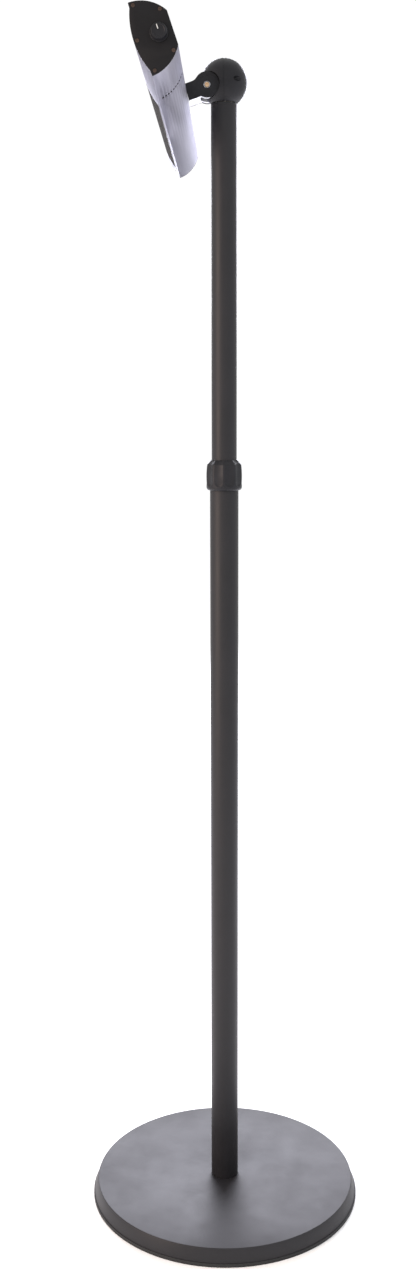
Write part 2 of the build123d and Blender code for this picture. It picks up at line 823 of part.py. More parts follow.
# ---------------------------------------------------------------- heating parts
def reflector():
    """Polished sheet trough behind the lamp, folded along the opening."""
    front = -lip_depth + reflector_front_gap
    deepest = front + reflector_depth
    outer = ThreePointArc((front, reflector_half), (deepest, 0), (front, -reflector_half))
    inner = ThreePointArc(
        (front, -reflector_half + reflector_sheet),
        (deepest - reflector_sheet, 0),
        (front, reflector_half - reflector_sheet),
    )
    first = Line((front, -reflector_half), (front, -reflector_half + reflector_sheet))
    second = Line((front, reflector_half - reflector_sheet), (front, reflector_half))
    return run_along(make_face([outer, first, inner, second]), window_start, window_end)


def lamp_span():
    return window_start + lamp_end_margin, window_end - lamp_end_margin


def heating_tube():
    """Quartz tube, closed and pinched round at both ends."""
    start, end = lamp_span()
    glass = along_y(lamp_radius, start, end)
    hollow = along_y(lamp_radius - lamp_glass, start + lamp_seat, end - lamp_seat)
    return section_place * Pos(-lamp_depth, 0, 0) * (glass - hollow)


def filament():
    start, end = lamp_span()
    strand = along_y(filament_radius, start + lamp_seat, end - lamp_seat)
    return section_place * Pos(-lamp_depth, 0, 0) * strand


def lamp_holders():
    """Ceramic blocks that carry the tube's ends in front of the reflector."""
    start, end = lamp_span()
    holders = []
    for low, high in ((start, start + holder_length), (end - holder_length, end)):
        body = block(
            -lamp_depth - holder_depth / 2,
            -lamp_depth + holder_depth / 2,
            low,
            high,
            -holder_height / 2,
            holder_height / 2,
        )
        body = body - along_y(lamp_radius + seat_gap, low - overcut, high + overcut, -lamp_depth, 0)
        holders.append((section_place * body).solid())
    return Compound(children=holders)


def grille_centre():
    """Centre and radius of the bulged front, from its three points."""
    rise = front_depth - lip_depth
    radius = (lip_half**2 + rise**2) / (2 * rise)
    return -front_depth + radius, radius


def safety_grille():
    """Curved cross wires welded to two long rails and two end strips, flush with the front."""
    centre_x, radius = grille_centre()
    rail_half = window_half - seat_gap
    half_angle = math.degrees(math.asin(rail_half / radius))
    start = window_start + seat_gap
    end = window_end - seat_gap

    def strip(outer_radius, inner_radius, angle_from, angle_to):
        """A piece of curved band, with angles in degrees from straight ahead."""
        corners = []
        for part_radius, angle in (
            (outer_radius, angle_from),
            (outer_radius, (angle_from + angle_to) / 2),
            (outer_radius, angle_to),
            (inner_radius, angle_to),
            (inner_radius, (angle_from + angle_to) / 2),
            (inner_radius, angle_from),
        ):
            turn = math.radians(angle)
            corners.append((centre_x - part_radius * math.cos(turn), part_radius * math.sin(turn)))
        return make_face(
            [
                ThreePointArc(*corners[0:3]),
                Line(corners[2], corners[3]),
                ThreePointArc(*corners[3:6]),
                Line(corners[5], corners[0]),
            ]
        )

    rail_angle = math.degrees(grille_rail_width / radius)
    frame = run_along(
        strip(radius, radius - grille_rail_depth, -half_angle, -half_angle + rail_angle), start, end
    )
    frame = frame + run_along(
        strip(radius, radius - grille_rail_depth, half_angle - rail_angle, half_angle), start, end
    )
    band = strip(radius, radius - grille_rail_depth, -half_angle, half_angle)
    frame = frame + run_along(band, start, start + grille_rail_width)
    frame = frame + run_along(band, end - grille_rail_width, end)
    wire_line_radius = radius - wire_radius
    wire_angle = half_angle - rail_angle / 2
    count = round((end - start) / wire_pitch) - 1
    spacing = (end - start) / (count + 1)
    ring = Pos(centre_x, 0, 0) * Rot(90, 0, 0) * Torus(wire_line_radius, wire_radius)
    reach = wire_line_radius * math.sin(math.radians(wire_angle))
    wire = ring & block(-2 * front_depth, 0, -overcut, overcut, -reach, reach)
    wires = [section_place * Pos(0, start + spacing * (index + 1), 0) * wire for index in range(count)]
    return only_solid(frame + wires)


def rotary_switch():
    """Power switch behind the near cap, with the shaft that the knob sits on."""
    back = -housing_half + cap_plug_depth / 2
    body = block(
        -knob_depth - switch_depth / 2,
        -knob_depth + switch_depth / 2,
        -housing_half,
        -housing_half + switch_length,
        -switch_width / 2,
        switch_width / 2,
    )
    shaft_end = -heater_length / 2 - knob_gap
    shaft = along_y(switch_shaft_radius, shaft_end, back, -knob_depth, 0)
    return section_place * (body + shaft)


def terminal_block():
    """Moulded strip with a screw well for each pole, on the back wall at the cable's end."""
    low_y = window_end + terminal_from_window
    body = block(
        -housing_wall - terminal_height,
        -housing_wall,
        low_y,
        low_y + terminal_length,
        -terminal_width / 2,
        terminal_width / 2,
    )
    pitch = terminal_length / terminal_poles
    for index in range(terminal_poles):
        y = low_y + (index + 0.5) * pitch
        well = along_x(pitch / 4, -terminal_height - 2 * housing_wall, -terminal_height / 2, y)
        body = body - well
    return section_place * body


def thermal_cutout():
    """Round snap switch against the back wall, near the heated stretch."""
    y = window_start - cutout_from_window
    disc = along_x(cutout_radius, -housing_wall - cutout_thickness, -housing_wall, y)
    return section_place * disc


save("reflector", hang(reflector()))
save("heating_tube", hang(heating_tube()))
save("filament", hang(filament()))
save("lamp_holders", hang(lamp_holders()))
save("safety_grille", hang(safety_grille()))
save("rotary_switch", hang(rotary_switch()))
save("terminal_block", hang(terminal_block()))
save("thermal_cutout", hang(thermal_cutout()))


# ---------------------------------------------------------------- knob and cable inlet
knob_back = -heater_length / 2 - knob_gap
knob_front = -heater_length / 2 - knob_height
marker_end = knob_face_radius - knob_edge


def knob_place(shape):
    """Puts a shape drawn round the Z axis, facing +Z from 0, on the knob's axis facing -Y."""
    return section_place * Pos(-knob_depth, knob_back, 0) * Rot(90, 0, 0) * shape


def control_knob():
    height = knob_back - knob_front
    body = Solid.make_cone(knob_radius, knob_face_radius, height)
    rim = body.edges().filter_by(GeomType.CIRCLE).group_by(Axis.Z)[-1]
    body = fillet(rim, knob_edge)
    room = upright(knob_radius - 2 * knob_edge, knob_bore_depth, 0)
    hub = upright(knob_hub_radius, knob_bore_depth, 0)
    body = body - (room - hub)
    groove = block(
        -marker_width / 2,
        marker_width / 2,
        marker_end - marker_length,
        marker_end,
        height - marker_inset,
        height + overcut,
    )
    return knob_place(only_solid(body - groove))


def knob_marker():
    """Pale strip set in the knob's face."""
    height = knob_back - knob_front
    half = marker_width / 2
    strip = block(-half, half, marker_end - marker_length, marker_end, height - marker_inset, height)
    return knob_place(strip)


def cable_gland():
    """Round inlet screwed through the far cap and held by a nut inside."""
    face_y = heater_length / 2
    body = along_y(gland_radius, face_y, face_y + gland_height)
    rim = body.edges().filter_by(GeomType.CIRCLE).group_by(Axis.Y)[-1]
    body = fillet(rim, knob_edge)
    thread = along_y(gland_thread_radius, face_y - gland_inside, face_y)
    bore = along_y(gland_bore_radius, face_y - gland_inside - overcut, face_y + gland_height + overcut)
    return section_place * Pos(-knob_depth, 0, 0) * (body + thread - bore)


def gland_nut():
    face_y = heater_length / 2 - cap_thickness
    hexagon = extrude(Plane.XZ * RegularPolygon(gland_nut_radius, 6), gland_nut_thickness)
    nut = Pos(0, face_y, 0) * hexagon - along_y(gland_thread_radius, face_y - gland_inside, face_y + overcut)
    return section_place * Pos(-knob_depth, 0, 0) * nut


save("control_knob", hang(control_knob()))
save("knob_marker", hang(knob_marker()))
save("cable_gland", hang(cable_gland()))
save("gland_nut", hang(gland_nut()))
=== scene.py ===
import json
import math
import bpy
from mathutils import Euler, Matrix, Vector


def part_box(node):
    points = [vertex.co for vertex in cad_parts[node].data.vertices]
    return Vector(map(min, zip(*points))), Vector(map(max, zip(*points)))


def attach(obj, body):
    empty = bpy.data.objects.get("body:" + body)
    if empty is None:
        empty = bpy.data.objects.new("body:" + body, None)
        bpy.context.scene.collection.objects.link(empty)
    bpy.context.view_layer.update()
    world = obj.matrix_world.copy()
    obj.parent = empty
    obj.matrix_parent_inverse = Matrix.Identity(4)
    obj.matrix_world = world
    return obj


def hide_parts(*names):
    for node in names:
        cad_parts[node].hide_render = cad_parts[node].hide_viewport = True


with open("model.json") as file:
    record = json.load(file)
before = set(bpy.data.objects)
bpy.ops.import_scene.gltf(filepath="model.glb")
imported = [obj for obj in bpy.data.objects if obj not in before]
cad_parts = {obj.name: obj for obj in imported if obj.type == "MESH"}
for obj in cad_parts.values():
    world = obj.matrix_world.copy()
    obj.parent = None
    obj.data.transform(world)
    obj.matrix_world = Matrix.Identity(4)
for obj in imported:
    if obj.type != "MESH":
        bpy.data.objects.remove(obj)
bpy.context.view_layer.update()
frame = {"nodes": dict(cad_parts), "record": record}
mm = 0.001

# ------------------------------------------------------------------ camera
# A normal lens a little above the middle of the pole, two metres away, looking
# down along the heater's own length, so that its knob end comes first.
camera_place = Vector((22.43, -2003.9, 1242.59)) * mm
camera_down = math.radians(9.8815)
camera_left = math.radians(1.3339)
camera_roll = math.radians(-0.1589)
camera_lens = 38.917

camera_data = bpy.data.cameras.new("studio_camera")
camera_data.lens = camera_lens
camera_data.sensor_width = 36.0
camera = bpy.data.objects.new("studio_camera", camera_data)
bpy.context.scene.collection.objects.link(camera)
aim = Matrix.Rotation(camera_left, 4, "Z") @ Matrix.Rotation(math.pi / 2 - camera_down, 4, "X")
aim = aim @ Matrix.Rotation(camera_roll, 4, "Z")
camera.matrix_world = Matrix.Translation(camera_place) @ aim
bpy.context.scene.camera = camera


# ------------------------------------------------------------------ studio floor
# A wide round sheet of matt white paper, laid flat. In the white room its edge
# can't be told from the walls.
paper_radius = 14.0
paper_thickness = 0.3 * mm
paper_white = "ffffff"
paper_fibre = 1.5  # millimetres


def linear_colour(hex_text):
    """The linear colour that an sRGB hex value stands for."""
    shares = [int(hex_text[i:i + 2], 16) / 255 for i in (0, 2, 4)]
    linear = [s / 12.92 if s <= 0.04045 else ((s + 0.055) / 1.055) ** 2.4 for s in shares]
    return (*linear, 1.0)


def start_material(name):
    """A new material with a shader on its output, and its node tree."""
    material = bpy.data.materials.new(name)
    material.use_nodes = True
    tree = material.node_tree
    tree.nodes.clear()
    shader = tree.nodes.new("ShaderNodeBsdfPrincipled")
    output = tree.nodes.new("ShaderNodeOutputMaterial")
    tree.links.new(shader.outputs["BSDF"], output.inputs["Surface"])
    return material, tree, shader


def add_node(tree, kind, settings, inputs):
    """A node with its settings; an input that is a socket is linked, any other is set."""
    node = tree.nodes.new(kind)
    for name, value in settings.items():
        setattr(node, name, value)
    for name, value in inputs.items():
        if isinstance(value, bpy.types.NodeSocket):
            tree.links.new(value, node.inputs[name])
        else:
            node.inputs[name].default_value = value
    return node


def set_shader(tree, shader, inputs):
    """Sets or links the shader's own sockets."""
    for name, value in inputs.items():
        if isinstance(value, bpy.types.NodeSocket):
            tree.links.new(value, shader.inputs[name])
        else:
            shader.inputs[name].default_value = value


def pick_nothing():
    if bpy.context.object and bpy.context.object.mode != "OBJECT":
        bpy.ops.object.mode_set(mode="OBJECT")
    bpy.ops.object.select_all(action="DESELECT")


def paper_material():
    material, tree, shader = start_material("paper_matt_backdrop")
    where = add_node(tree, "ShaderNodeTexCoord", {}, {}).outputs["Object"]
    fibre = add_node(tree, "ShaderNodeTexNoise", {}, {"Vector": where, "Scale": 1 / (paper_fibre * mm), "Detail": 3.0})
    relief = add_node(
        tree, "ShaderNodeBump", {}, {"Height": fibre.outputs["Fac"], "Strength": 0.1, "Distance": 0.1 * mm}
    )
    set_shader(tree, shader, {
        "Base Color": linear_colour(paper_white),
        "Roughness": 0.9,
        "Specular IOR Level": 0.2,
        "Normal": relief.outputs["Normal"],
    })
    return material


pick_nothing()
bpy.ops.mesh.primitive_circle_add(vertices=128, radius=paper_radius, fill_type="NGON")
floor = bpy.context.object
floor.name = "paper_floor"
bpy.ops.object.mode_set(mode="EDIT")
bpy.ops.mesh.select_all(action="SELECT")
bpy.ops.mesh.extrude_region_move(TRANSFORM_OT_translate={"value": (0, 0, -paper_thickness)})
bpy.ops.mesh.select_all(action="SELECT")
bpy.ops.mesh.normals_make_consistent(inside=False)
bpy.ops.object.mode_set(mode="OBJECT")
floor.data.materials.append(paper_material())


# ------------------------------------------------------------------ studio light
# An even white room and three large soft boxes: a tall one on the left that draws
# the long warm highlight down the pole, a weak one on the right, and one high
# behind, whose reflection makes the base's black top read as grey.
room_strength = 1.03
soft_boxes = (
    # name, middle, point it looks at, width and height in metres, watts, tint
    ("key_soft_box", (-2.6, -1.7, 1.75), (0.0, 0.0, 1.45), (1.1, 2.4), 72.0, "ffe2cf"),
    ("fill_soft_box", (2.9, -0.9, 1.5), (0.0, 0.0, 1.3), (0.6, 2.4), 3.0, "e8ecff"),
    ("back_soft_box", (0.0, 3.4, 2.4), (0.0, 0.0, 0.3), (3.4, 1.8), 260.0, "f1f1ff"),
)

world = bpy.data.worlds.new("white_room")
world.use_nodes = True
world.node_tree.nodes["Background"].inputs["Color"].default_value = linear_colour("ffffff")
world.node_tree.nodes["Background"].inputs["Strength"].default_value = room_strength
bpy.context.scene.world = world
bpy.context.scene.view_settings.view_transform = "Standard"
for name, middle, target, (width, height), watts, tint in soft_boxes:
    light_data = bpy.data.lights.new(name, "AREA")
    light_data.shape = "RECTANGLE"
    light_data.size = width
    light_data.size_y = height
    light_data.energy = watts
    light_data.color = linear_colour(tint)[:3]
    light = bpy.data.objects.new(name, light_data)
    light.visible_camera = False
    bpy.context.scene.collection.objects.link(light)
    look = (Vector(target) - Vector(middle)).to_track_quat("-Z", "Y").to_matrix().to_4x4()
    light.matrix_world = Matrix.Translation(middle) @ look


# ------------------------------------------------------------------ base cover
# A dish of 1.5 mm deep-drawn steel that hides the weight: a flat top, a leaning
# side and a short upright band, all coated with satin black powder.
cover_low, cover_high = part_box("base_cover")
cover_radius = cover_high.x
cover_top_radius = cover_radius - 6.0 * mm
cover_sheet = 1.5 * mm
cover_band = 5.0 * mm
cover_hole = 6.2 * mm
round_steps = 256
powder_black = "1c1b1d"
powder_grey = "29282b"
orange_peel = 1.6  # millimetres between the swells of the cured powder
powder_grain = 0.22  # millimetres, one melted grain
dust_patch = 70.0  # millimetres


def turned_piece(name, outline, steps, closed):
    """Turns (radius, height) corners round Z, ring by ring. A closed outline meets its own start;
    an open one has its two end rings filled flat."""
    pick_nothing()
    first_radius, first_height = outline[0]
    fill = "NOTHING" if closed else "NGON"
    bpy.ops.mesh.primitive_circle_add(vertices=steps, radius=first_radius, fill_type=fill)
    piece = bpy.context.object
    piece.name = name
    piece.data.transform(Matrix.Translation((0, 0, first_height)))
    bpy.ops.object.mode_set(mode="EDIT")
    bpy.ops.mesh.select_all(action="SELECT")
    corners = outline + outline[:1] if closed else outline
    for (radius, height), (next_radius, next_height) in zip(corners, corners[1:]):
        move = {"value": (0, 0, next_height - height)}
        bpy.ops.mesh.extrude_region_move(TRANSFORM_OT_translate=move)
        grow = next_radius / radius
        bpy.ops.transform.resize(value=(grow, grow, 1), center_override=(0, 0, next_height))
    bpy.ops.mesh.select_all(action="SELECT")
    bpy.ops.mesh.remove_doubles(threshold=0.001 * mm)
    bpy.ops.mesh.normals_make_consistent(inside=False)
    bpy.ops.object.mode_set(mode="OBJECT")
    return piece


def round_edges(piece, width, segments=3, angle=30.0):
    """Breaks every edge sharper than angle with a small radius."""
    rounding = piece.modifiers.new("rounding", "BEVEL")
    rounding.width = width
    rounding.segments = segments
    rounding.limit_method = "ANGLE"
    rounding.angle_limit = math.radians(angle)
    apply_modifier(piece, rounding)


def apply_modifier(piece, modifier):
    pick_nothing()
    piece.select_set(True)
    bpy.context.view_layer.objects.active = piece
    bpy.ops.object.modifier_apply(modifier=modifier.name)


def smooth_faces(piece, angle=35.0):
    pick_nothing()
    piece.select_set(True)
    bpy.context.view_layer.objects.active = piece
    bpy.ops.object.shade_smooth_by_angle(angle=math.radians(angle))


def hand_over(piece, material, body, slot, *nodes):
    """Gives a finished piece its material and its body, and hides the CAD nodes that it stands for."""
    piece.data.materials.clear()
    piece.data.materials.append(material)
    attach(piece, body)
    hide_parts(*nodes)


def powder_coat():
    """Satin polyester powder on steel: a slow orange-peel swell, a fine grain, and a
    haze of dust that makes it paler and duller in patches."""
    material, tree, shader = start_material("powder_coat_satin_black")
    where = add_node(tree, "ShaderNodeTexCoord", {}, {}).outputs["Object"]
    peel = add_node(tree, "ShaderNodeTexNoise", {}, {"Vector": where, "Scale": 1 / (orange_peel * mm), "Detail": 2.0})
    grain = add_node(tree, "ShaderNodeTexNoise", {}, {"Vector": where, "Scale": 1 / (powder_grain * mm), "Detail": 2.0})
    dust = add_node(
        tree, "ShaderNodeTexNoise", {}, {"Vector": where, "Scale": 1 / (dust_patch * mm), "Detail": 6.0, "Roughness": 0.65}
    )
    tone = add_node(tree, "ShaderNodeMix", {"data_type": "RGBA"}, {
        "Factor": dust.outputs["Fac"],
        "A": linear_colour(powder_black),
        "B": linear_colour(powder_grey),
    })
    gloss = add_node(tree, "ShaderNodeMapRange", {}, {
        "Value": dust.outputs["Fac"], "From Min": 0.3, "From Max": 0.7, "To Min": 0.43, "To Max": 0.53,
    })
    swell = add_node(
        tree, "ShaderNodeBump", {}, {"Height": peel.outputs["Fac"], "Strength": 0.35, "Distance": 0.03 * mm}
    )
    relief = add_node(tree, "ShaderNodeBump", {}, {
        "Height": grain.outputs["Fac"],
        "Strength": 0.3,
        "Distance": 0.01 * mm,
        "Normal": swell.outputs["Normal"],
    })
    set_shader(tree, shader, {
        "Base Color": tone.outputs["Result"],
        "Roughness": gloss.outputs["Result"],
        "IOR": 1.5,
        "Specular IOR Level": 0.27,
        "Normal": relief.outputs["Normal"],
    })
    return material


powder = powder_coat()
base_cover = turned_piece("base_cover_dish", [
    (cover_hole, cover_high.z),
    (cover_top_radius, cover_high.z),
    (cover_radius, cover_low.z + cover_band),
    (cover_radius, cover_low.z),
    (cover_radius - cover_sheet, cover_low.z),
    (cover_radius - cover_sheet, cover_low.z + cover_band),
    (cover_top_radius - cover_sheet, cover_high.z - cover_sheet),
    (cover_hole, cover_high.z - cover_sheet),
], round_steps, True)
round_edges(base_cover, 0.7 * mm)
smooth_faces(base_cover)
hand_over(base_cover, powder, "stand", "black_paint", "base_cover")


# ------------------------------------------------------------------ base ring
# An extruded strip of black EPDM rubber, pushed over the cover's rim and joined
# at one place. The whole stand rests on its flat underside.
ring_low, ring_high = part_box("base_ring")
ring_radius = ring_high.x
ring_inner = cover_radius - cover_sheet - 2.2 * mm
ring_lip_height = cover_low.z + 2.5 * mm
rubber_black = "141415"
rubber_bloom = "232325"
rubber_pore = 0.35  # millimetres


def rubber_strip():
    """Extruded EPDM: fine pores and a grey bloom that comes out where it is handled."""
    material, tree, shader = start_material("epdm_rubber_extruded")
    where = add_node(tree, "ShaderNodeTexCoord", {}, {}).outputs["Object"]
    pores = add_node(tree, "ShaderNodeTexNoise", {}, {"Vector": where, "Scale": 1 / (rubber_pore * mm), "Detail": 3.0})
    bloom = add_node(tree, "ShaderNodeTexNoise", {}, {"Vector": where, "Scale": 1 / (25.0 * mm), "Detail": 5.0})
    tone = add_node(tree, "ShaderNodeMix", {"data_type": "RGBA"}, {
        "Factor": bloom.outputs["Fac"], "A": linear_colour(rubber_black), "B": linear_colour(rubber_bloom),
    })
    relief = add_node(
        tree, "ShaderNodeBump", {}, {"Height": pores.outputs["Fac"], "Strength": 0.5, "Distance": 0.04 * mm}
    )
    set_shader(tree, shader, {
        "Base Color": tone.outputs["Result"], "Roughness": 0.72, "IOR": 1.52, "Normal": relief.outputs["Normal"],
    })
    return material


rubber = rubber_strip()
base_ring = turned_piece("base_ring_strip", [
    (ring_inner, ring_low.z),
    (ring_radius, ring_low.z),
    (ring_radius, ring_high.z),
    (cover_radius, ring_high.z),
    (cover_radius, cover_low.z),
    (cover_radius - cover_sheet, cover_low.z),
    (cover_radius - cover_sheet, ring_lip_height),
    (ring_inner, ring_lip_height),
], round_steps, True)
round_edges(base_ring, 0.45 * mm)
smooth_faces(base_ring)
hand_over(base_ring, rubber, "stand", "rubber", "base_ring")


# ------------------------------------------------------------------ weight and its fixing
# A sand-cast grey iron disc, pulled up under the cover by one zinc-plated bolt
# and washer, which also hold the pole down. They show only from below.
iron_grey = "4a4a4c"
iron_dark = "2e2e30"
iron_rust = "5a4033"
cast_grain = 1.4  # millimetres, the sand's print
zinc_grey = "b4b8bd"
zinc_blue = "9aa3b2"
zinc_spangle = 3.0  # millimetres


def cast_iron():
    """Sand-cast iron: a coarse print of the sand, darker in its hollows, with a little rust."""
    material, tree, shader = start_material("grey_iron_sand_cast")
    where = add_node(tree, "ShaderNodeTexCoord", {}, {}).outputs["Object"]
    sand = add_node(tree, "ShaderNodeTexNoise", {}, {"Vector": where, "Scale": 1 / (cast_grain * mm), "Detail": 6.0})
    rust = add_node(tree, "ShaderNodeTexNoise", {}, {"Vector": where, "Scale": 1 / (40.0 * mm), "Detail": 8.0})
    tone = add_node(tree, "ShaderNodeMix", {"data_type": "RGBA"}, {
        "Factor": sand.outputs["Fac"], "A": linear_colour(iron_dark), "B": linear_colour(iron_grey),
    })
    spread = add_node(tree, "ShaderNodeMapRange", {}, {
        "Value": rust.outputs["Fac"], "From Min": 0.55, "From Max": 0.75, "To Min": 0.0, "To Max": 0.7,
    })
    rusty = add_node(tree, "ShaderNodeMix", {"data_type": "RGBA"}, {
        "Factor": spread.outputs["Result"], "A": tone.outputs["Result"], "B": linear_colour(iron_rust),
    })
    relief = add_node(
        tree, "ShaderNodeBump", {}, {"Height": sand.outputs["Fac"], "Strength": 0.8, "Distance": 0.3 * mm}
    )
    set_shader(tree, shader, {
        "Base Color": rusty.outputs["Result"], "Metallic": 0.4, "Roughness": 0.78, "Normal": relief.outputs["Normal"],
    })
    return material


def plated_steel(name, colour_a, colour_b, roughness):
    """Zinc-plated turned steel: a colour that drifts from one crystal patch to the next."""
    material, tree, shader = start_material(name)
    where = add_node(tree, "ShaderNodeTexCoord", {}, {}).outputs["Object"]
    patch = add_node(tree, "ShaderNodeTexNoise", {}, {"Vector": where, "Scale": 1 / (zinc_spangle * mm), "Detail": 3.0})
    turning = add_node(tree, "ShaderNodeTexNoise", {}, {"Vector": where, "Scale": 1 / (0.25 * mm), "Detail": 2.0})
    tone = add_node(tree, "ShaderNodeMix", {"data_type": "RGBA"}, {
        "Factor": patch.outputs["Fac"], "A": linear_colour(colour_a), "B": linear_colour(colour_b),
    })
    relief = add_node(
        tree, "ShaderNodeBump", {}, {"Height": turning.outputs["Fac"], "Strength": 0.25, "Distance": 0.02 * mm}
    )
    set_shader(tree, shader, {
        "Base Color": tone.outputs["Result"], "Metallic": 1.0, "Roughness": roughness,
        "Normal": relief.outputs["Normal"],
    })
    return material


def refinish(node, material):
    """Gives a CAD node its material."""
    solid = frame["nodes"][node]
    solid.data.materials.clear()
    solid.data.materials.append(material)


zinc = plated_steel("steel_zinc_plated", zinc_grey, zinc_blue, 0.34)
refinish("base_weight", cast_iron())
refinish("foot_bolt", zinc)
refinish("foot_washer", zinc)
refinish("foot_plug", zinc)


# ------------------------------------------------------------------ pole
# Two lengths of welded steel tube, 40 and 35 mm across, cut square, deburred at
# the ends and powder-coated like the base. The upper one slides in the lower.
tube_wall = 1.5 * mm
tube_steps = 96
tube_lip = 0.3 * mm


def pole_tube(name, node):
    low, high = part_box(node)
    outside = high.x
    inside = outside - tube_wall
    tube = turned_piece(name, [
        (inside, low.z), (outside, low.z), (outside, high.z), (inside, high.z),
    ], tube_steps, True)
    round_edges(tube, tube_lip)
    smooth_faces(tube)
    return tube


lower_tube = pole_tube("pole_lower_tube", "lower_tube")
hand_over(lower_tube, powder, "stand", "black_paint", "lower_tube")
upper_tube = pole_tube("pole_upper_tube", "upper_tube")
hand_over(upper_tube, powder, "mast", "black_paint", "upper_tube")


# ------------------------------------------------------------------ twist-lock collar
# A barrel-shaped grip nut, injection-moulded in black glass-filled nylon. Ten
# shallow finger flutes run up it; its mouth closes on the lower tube.
collar_low, collar_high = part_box("clutch_collar")
lower_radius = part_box("lower_tube")[1].x
upper_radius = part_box("upper_tube")[1].x
barrel_radius = 26.7 * mm
barrel_end_radius = 25.6 * mm
mouth_radius = 22.95 * mm
top_radius = upper_radius + 1.5 * mm
mouth_round = 3.0 * mm
shoulder_drop = 6.5 * mm
collar_gap = 0.35 * mm
collar_wall = 3.2 * mm
flutes = 10
flute_depth = 1.5 * mm
flute_share = 0.84  # of each tenth of the way round that its flute takes
flute_foot = 5.5 * mm
flute_arch = 4.0 * mm
collar_steps = 320
collar_rows = 34
moulded_black = "17171a"
moulded_worn = "2a2a2e"
spark_grain = 0.30  # millimetres, the texture eroded in the mould


def barrel_outline():
    """The collar's outer side from mouth to top, then its bore back down."""
    bottom = collar_low.z
    foot = bottom + mouth_round
    shoulder = collar_high.z - shoulder_drop
    outline = [(mouth_radius, bottom), (mouth_radius + 1.6 * mm, bottom + 0.9 * mm)]
    for row in range(collar_rows + 1):
        share = row / collar_rows
        swell = 1 - (2 * share - 1) ** 2
        radius = barrel_end_radius + (barrel_radius - barrel_end_radius) * swell
        outline.append((radius, foot + (shoulder - foot) * share))
    cone_rows = 6
    for row in range(1, cone_rows + 1):
        share = row / cone_rows
        outline.append((
            barrel_end_radius + (top_radius - barrel_end_radius) * share,
            shoulder + shoulder_drop * share,
        ))
    bore_top = (upper_radius + collar_gap, collar_high.z)
    bore_step = (upper_radius + collar_gap, collar_high.z - collar_wall)
    inner_top = (barrel_end_radius - collar_wall, collar_high.z - shoulder_drop - collar_wall)
    inner_foot = (barrel_end_radius - collar_wall, foot + collar_wall)
    inner_mouth = (lower_radius + collar_gap, foot + collar_wall / 2)
    return outline + [bore_top, bore_step, inner_top, inner_foot, inner_mouth, (lower_radius + collar_gap, bottom)]


def press_flutes(piece):
    """Sinks the flutes by moving the barrel's points inwards: deepest along each flute's
    middle, fading to nothing at its edges and in an arch at its foot."""
    for point in piece.data.vertices:
        radius = math.hypot(point.co.x, point.co.y)
        height = point.co.z - collar_low.z
        if radius < top_radius or height < flute_foot:
            continue
        turn = (math.atan2(point.co.y, point.co.x) * flutes / math.tau + 0.5) % 1.0
        across = min(abs(2 * turn - 1) / flute_share, 1.0)
        rise = (height - flute_foot - flute_arch * across ** 2) / (2.0 * mm)
        rise = max(0.0, min(1.0, rise))
        fade = rise * rise * (3 - 2 * rise)
        depth = flute_depth * (1 - across ** 2) * fade
        point.co.x *= (radius - depth) / radius
        point.co.y *= (radius - depth) / radius


def moulded_plastic(name, dark, worn, grain, roughness):
    """Moulded plastic with a spark-eroded texture: matt grain, with the high places
    rubbed a little shinier and paler."""
    material, tree, shader = start_material(name)
    where = add_node(tree, "ShaderNodeTexCoord", {}, {}).outputs["Object"]
    texture = add_node(tree, "ShaderNodeTexNoise", {}, {"Vector": where, "Scale": 1 / (grain * mm), "Detail": 3.0})
    patches = add_node(tree, "ShaderNodeTexNoise", {}, {"Vector": where, "Scale": 1 / (18.0 * mm), "Detail": 5.0})
    tone = add_node(tree, "ShaderNodeMix", {"data_type": "RGBA"}, {
        "Factor": patches.outputs["Fac"], "A": linear_colour(dark), "B": linear_colour(worn),
    })
    gloss = add_node(tree, "ShaderNodeMapRange", {}, {
        "Value": patches.outputs["Fac"], "From Min": 0.35, "From Max": 0.65,
        "To Min": roughness + 0.05, "To Max": roughness - 0.05,
    })
    relief = add_node(
        tree, "ShaderNodeBump", {}, {"Height": texture.outputs["Fac"], "Strength": 0.4, "Distance": 0.03 * mm}
    )
    set_shader(tree, shader, {
        "Base Color": tone.outputs["Result"], "Roughness": gloss.outputs["Result"], "IOR": 1.53,
        "Specular IOR Level": 0.18,
        "Normal": relief.outputs["Normal"],
    })
    return material


nylon_black = moulded_plastic("glass_filled_nylon_moulded", moulded_black, moulded_worn, spark_grain, 0.44)
collar = turned_piece("clutch_grip_collar", barrel_outline(), collar_steps, True)
press_flutes(collar)
smooth_faces(collar, 40.0)
hand_over(collar, nylon_black, "clutch", "black_plastic", "clutch_collar")


# ------------------------------------------------------------------ hidden guides of the pole
# The clutch's slit sleeve and the sliding bush are natural acetal mouldings; the
# swivel plug is turned aluminium. They stay as they are and get their finish.
acetal_white = "d8d2c4"
acetal_shade = "c8c0b0"
acetal = moulded_plastic("acetal_natural_moulded", acetal_shade, acetal_white, spark_grain, 0.38)
for node in ("clutch_sleeve", "slide_bush", "swivel_washer"):
    refinish(node, acetal)


# ------------------------------------------------------------------ ball head
# Two hollow halves moulded in black ABS, screwed together from behind. They trap
# the flange of the pole's plug and turn on it; the front half carries the tilt lug.
ball_low, ball_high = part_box("ball_shell_rear")
ball_radius = ball_high.y + 0.0014 * mm
ball_height = ball_high.z - ball_radius
ball_wall = 3.0 * mm
ball_floor = 5.0 * mm
joints = {joint["name"]: joint for joint in frame["record"]["behaviour"]["joints"]}
pivot = Vector(joints["heater_tilt"]["pos_m"])
lug_radius = 16.0 * mm
lug_half_width = 10.5 * mm
pocket_radius = 17.5 * mm
seam_width = 0.6 * mm
seam_depth = 0.6 * mm
well_radius = 3.55 * mm
well_offset = 26.0 * mm
well_floor = 8.0 * mm
screw_boss_radius = 5.6 * mm
stem_hole_radius = 8.1 * mm
flange_room_radius = 11.85 * mm
flange_room_height = 2.7 * mm
overcut = 5.0 * mm
ball_segments = 128
ball_rings = 64
abs_black = "17171a"
abs_worn = "232327"


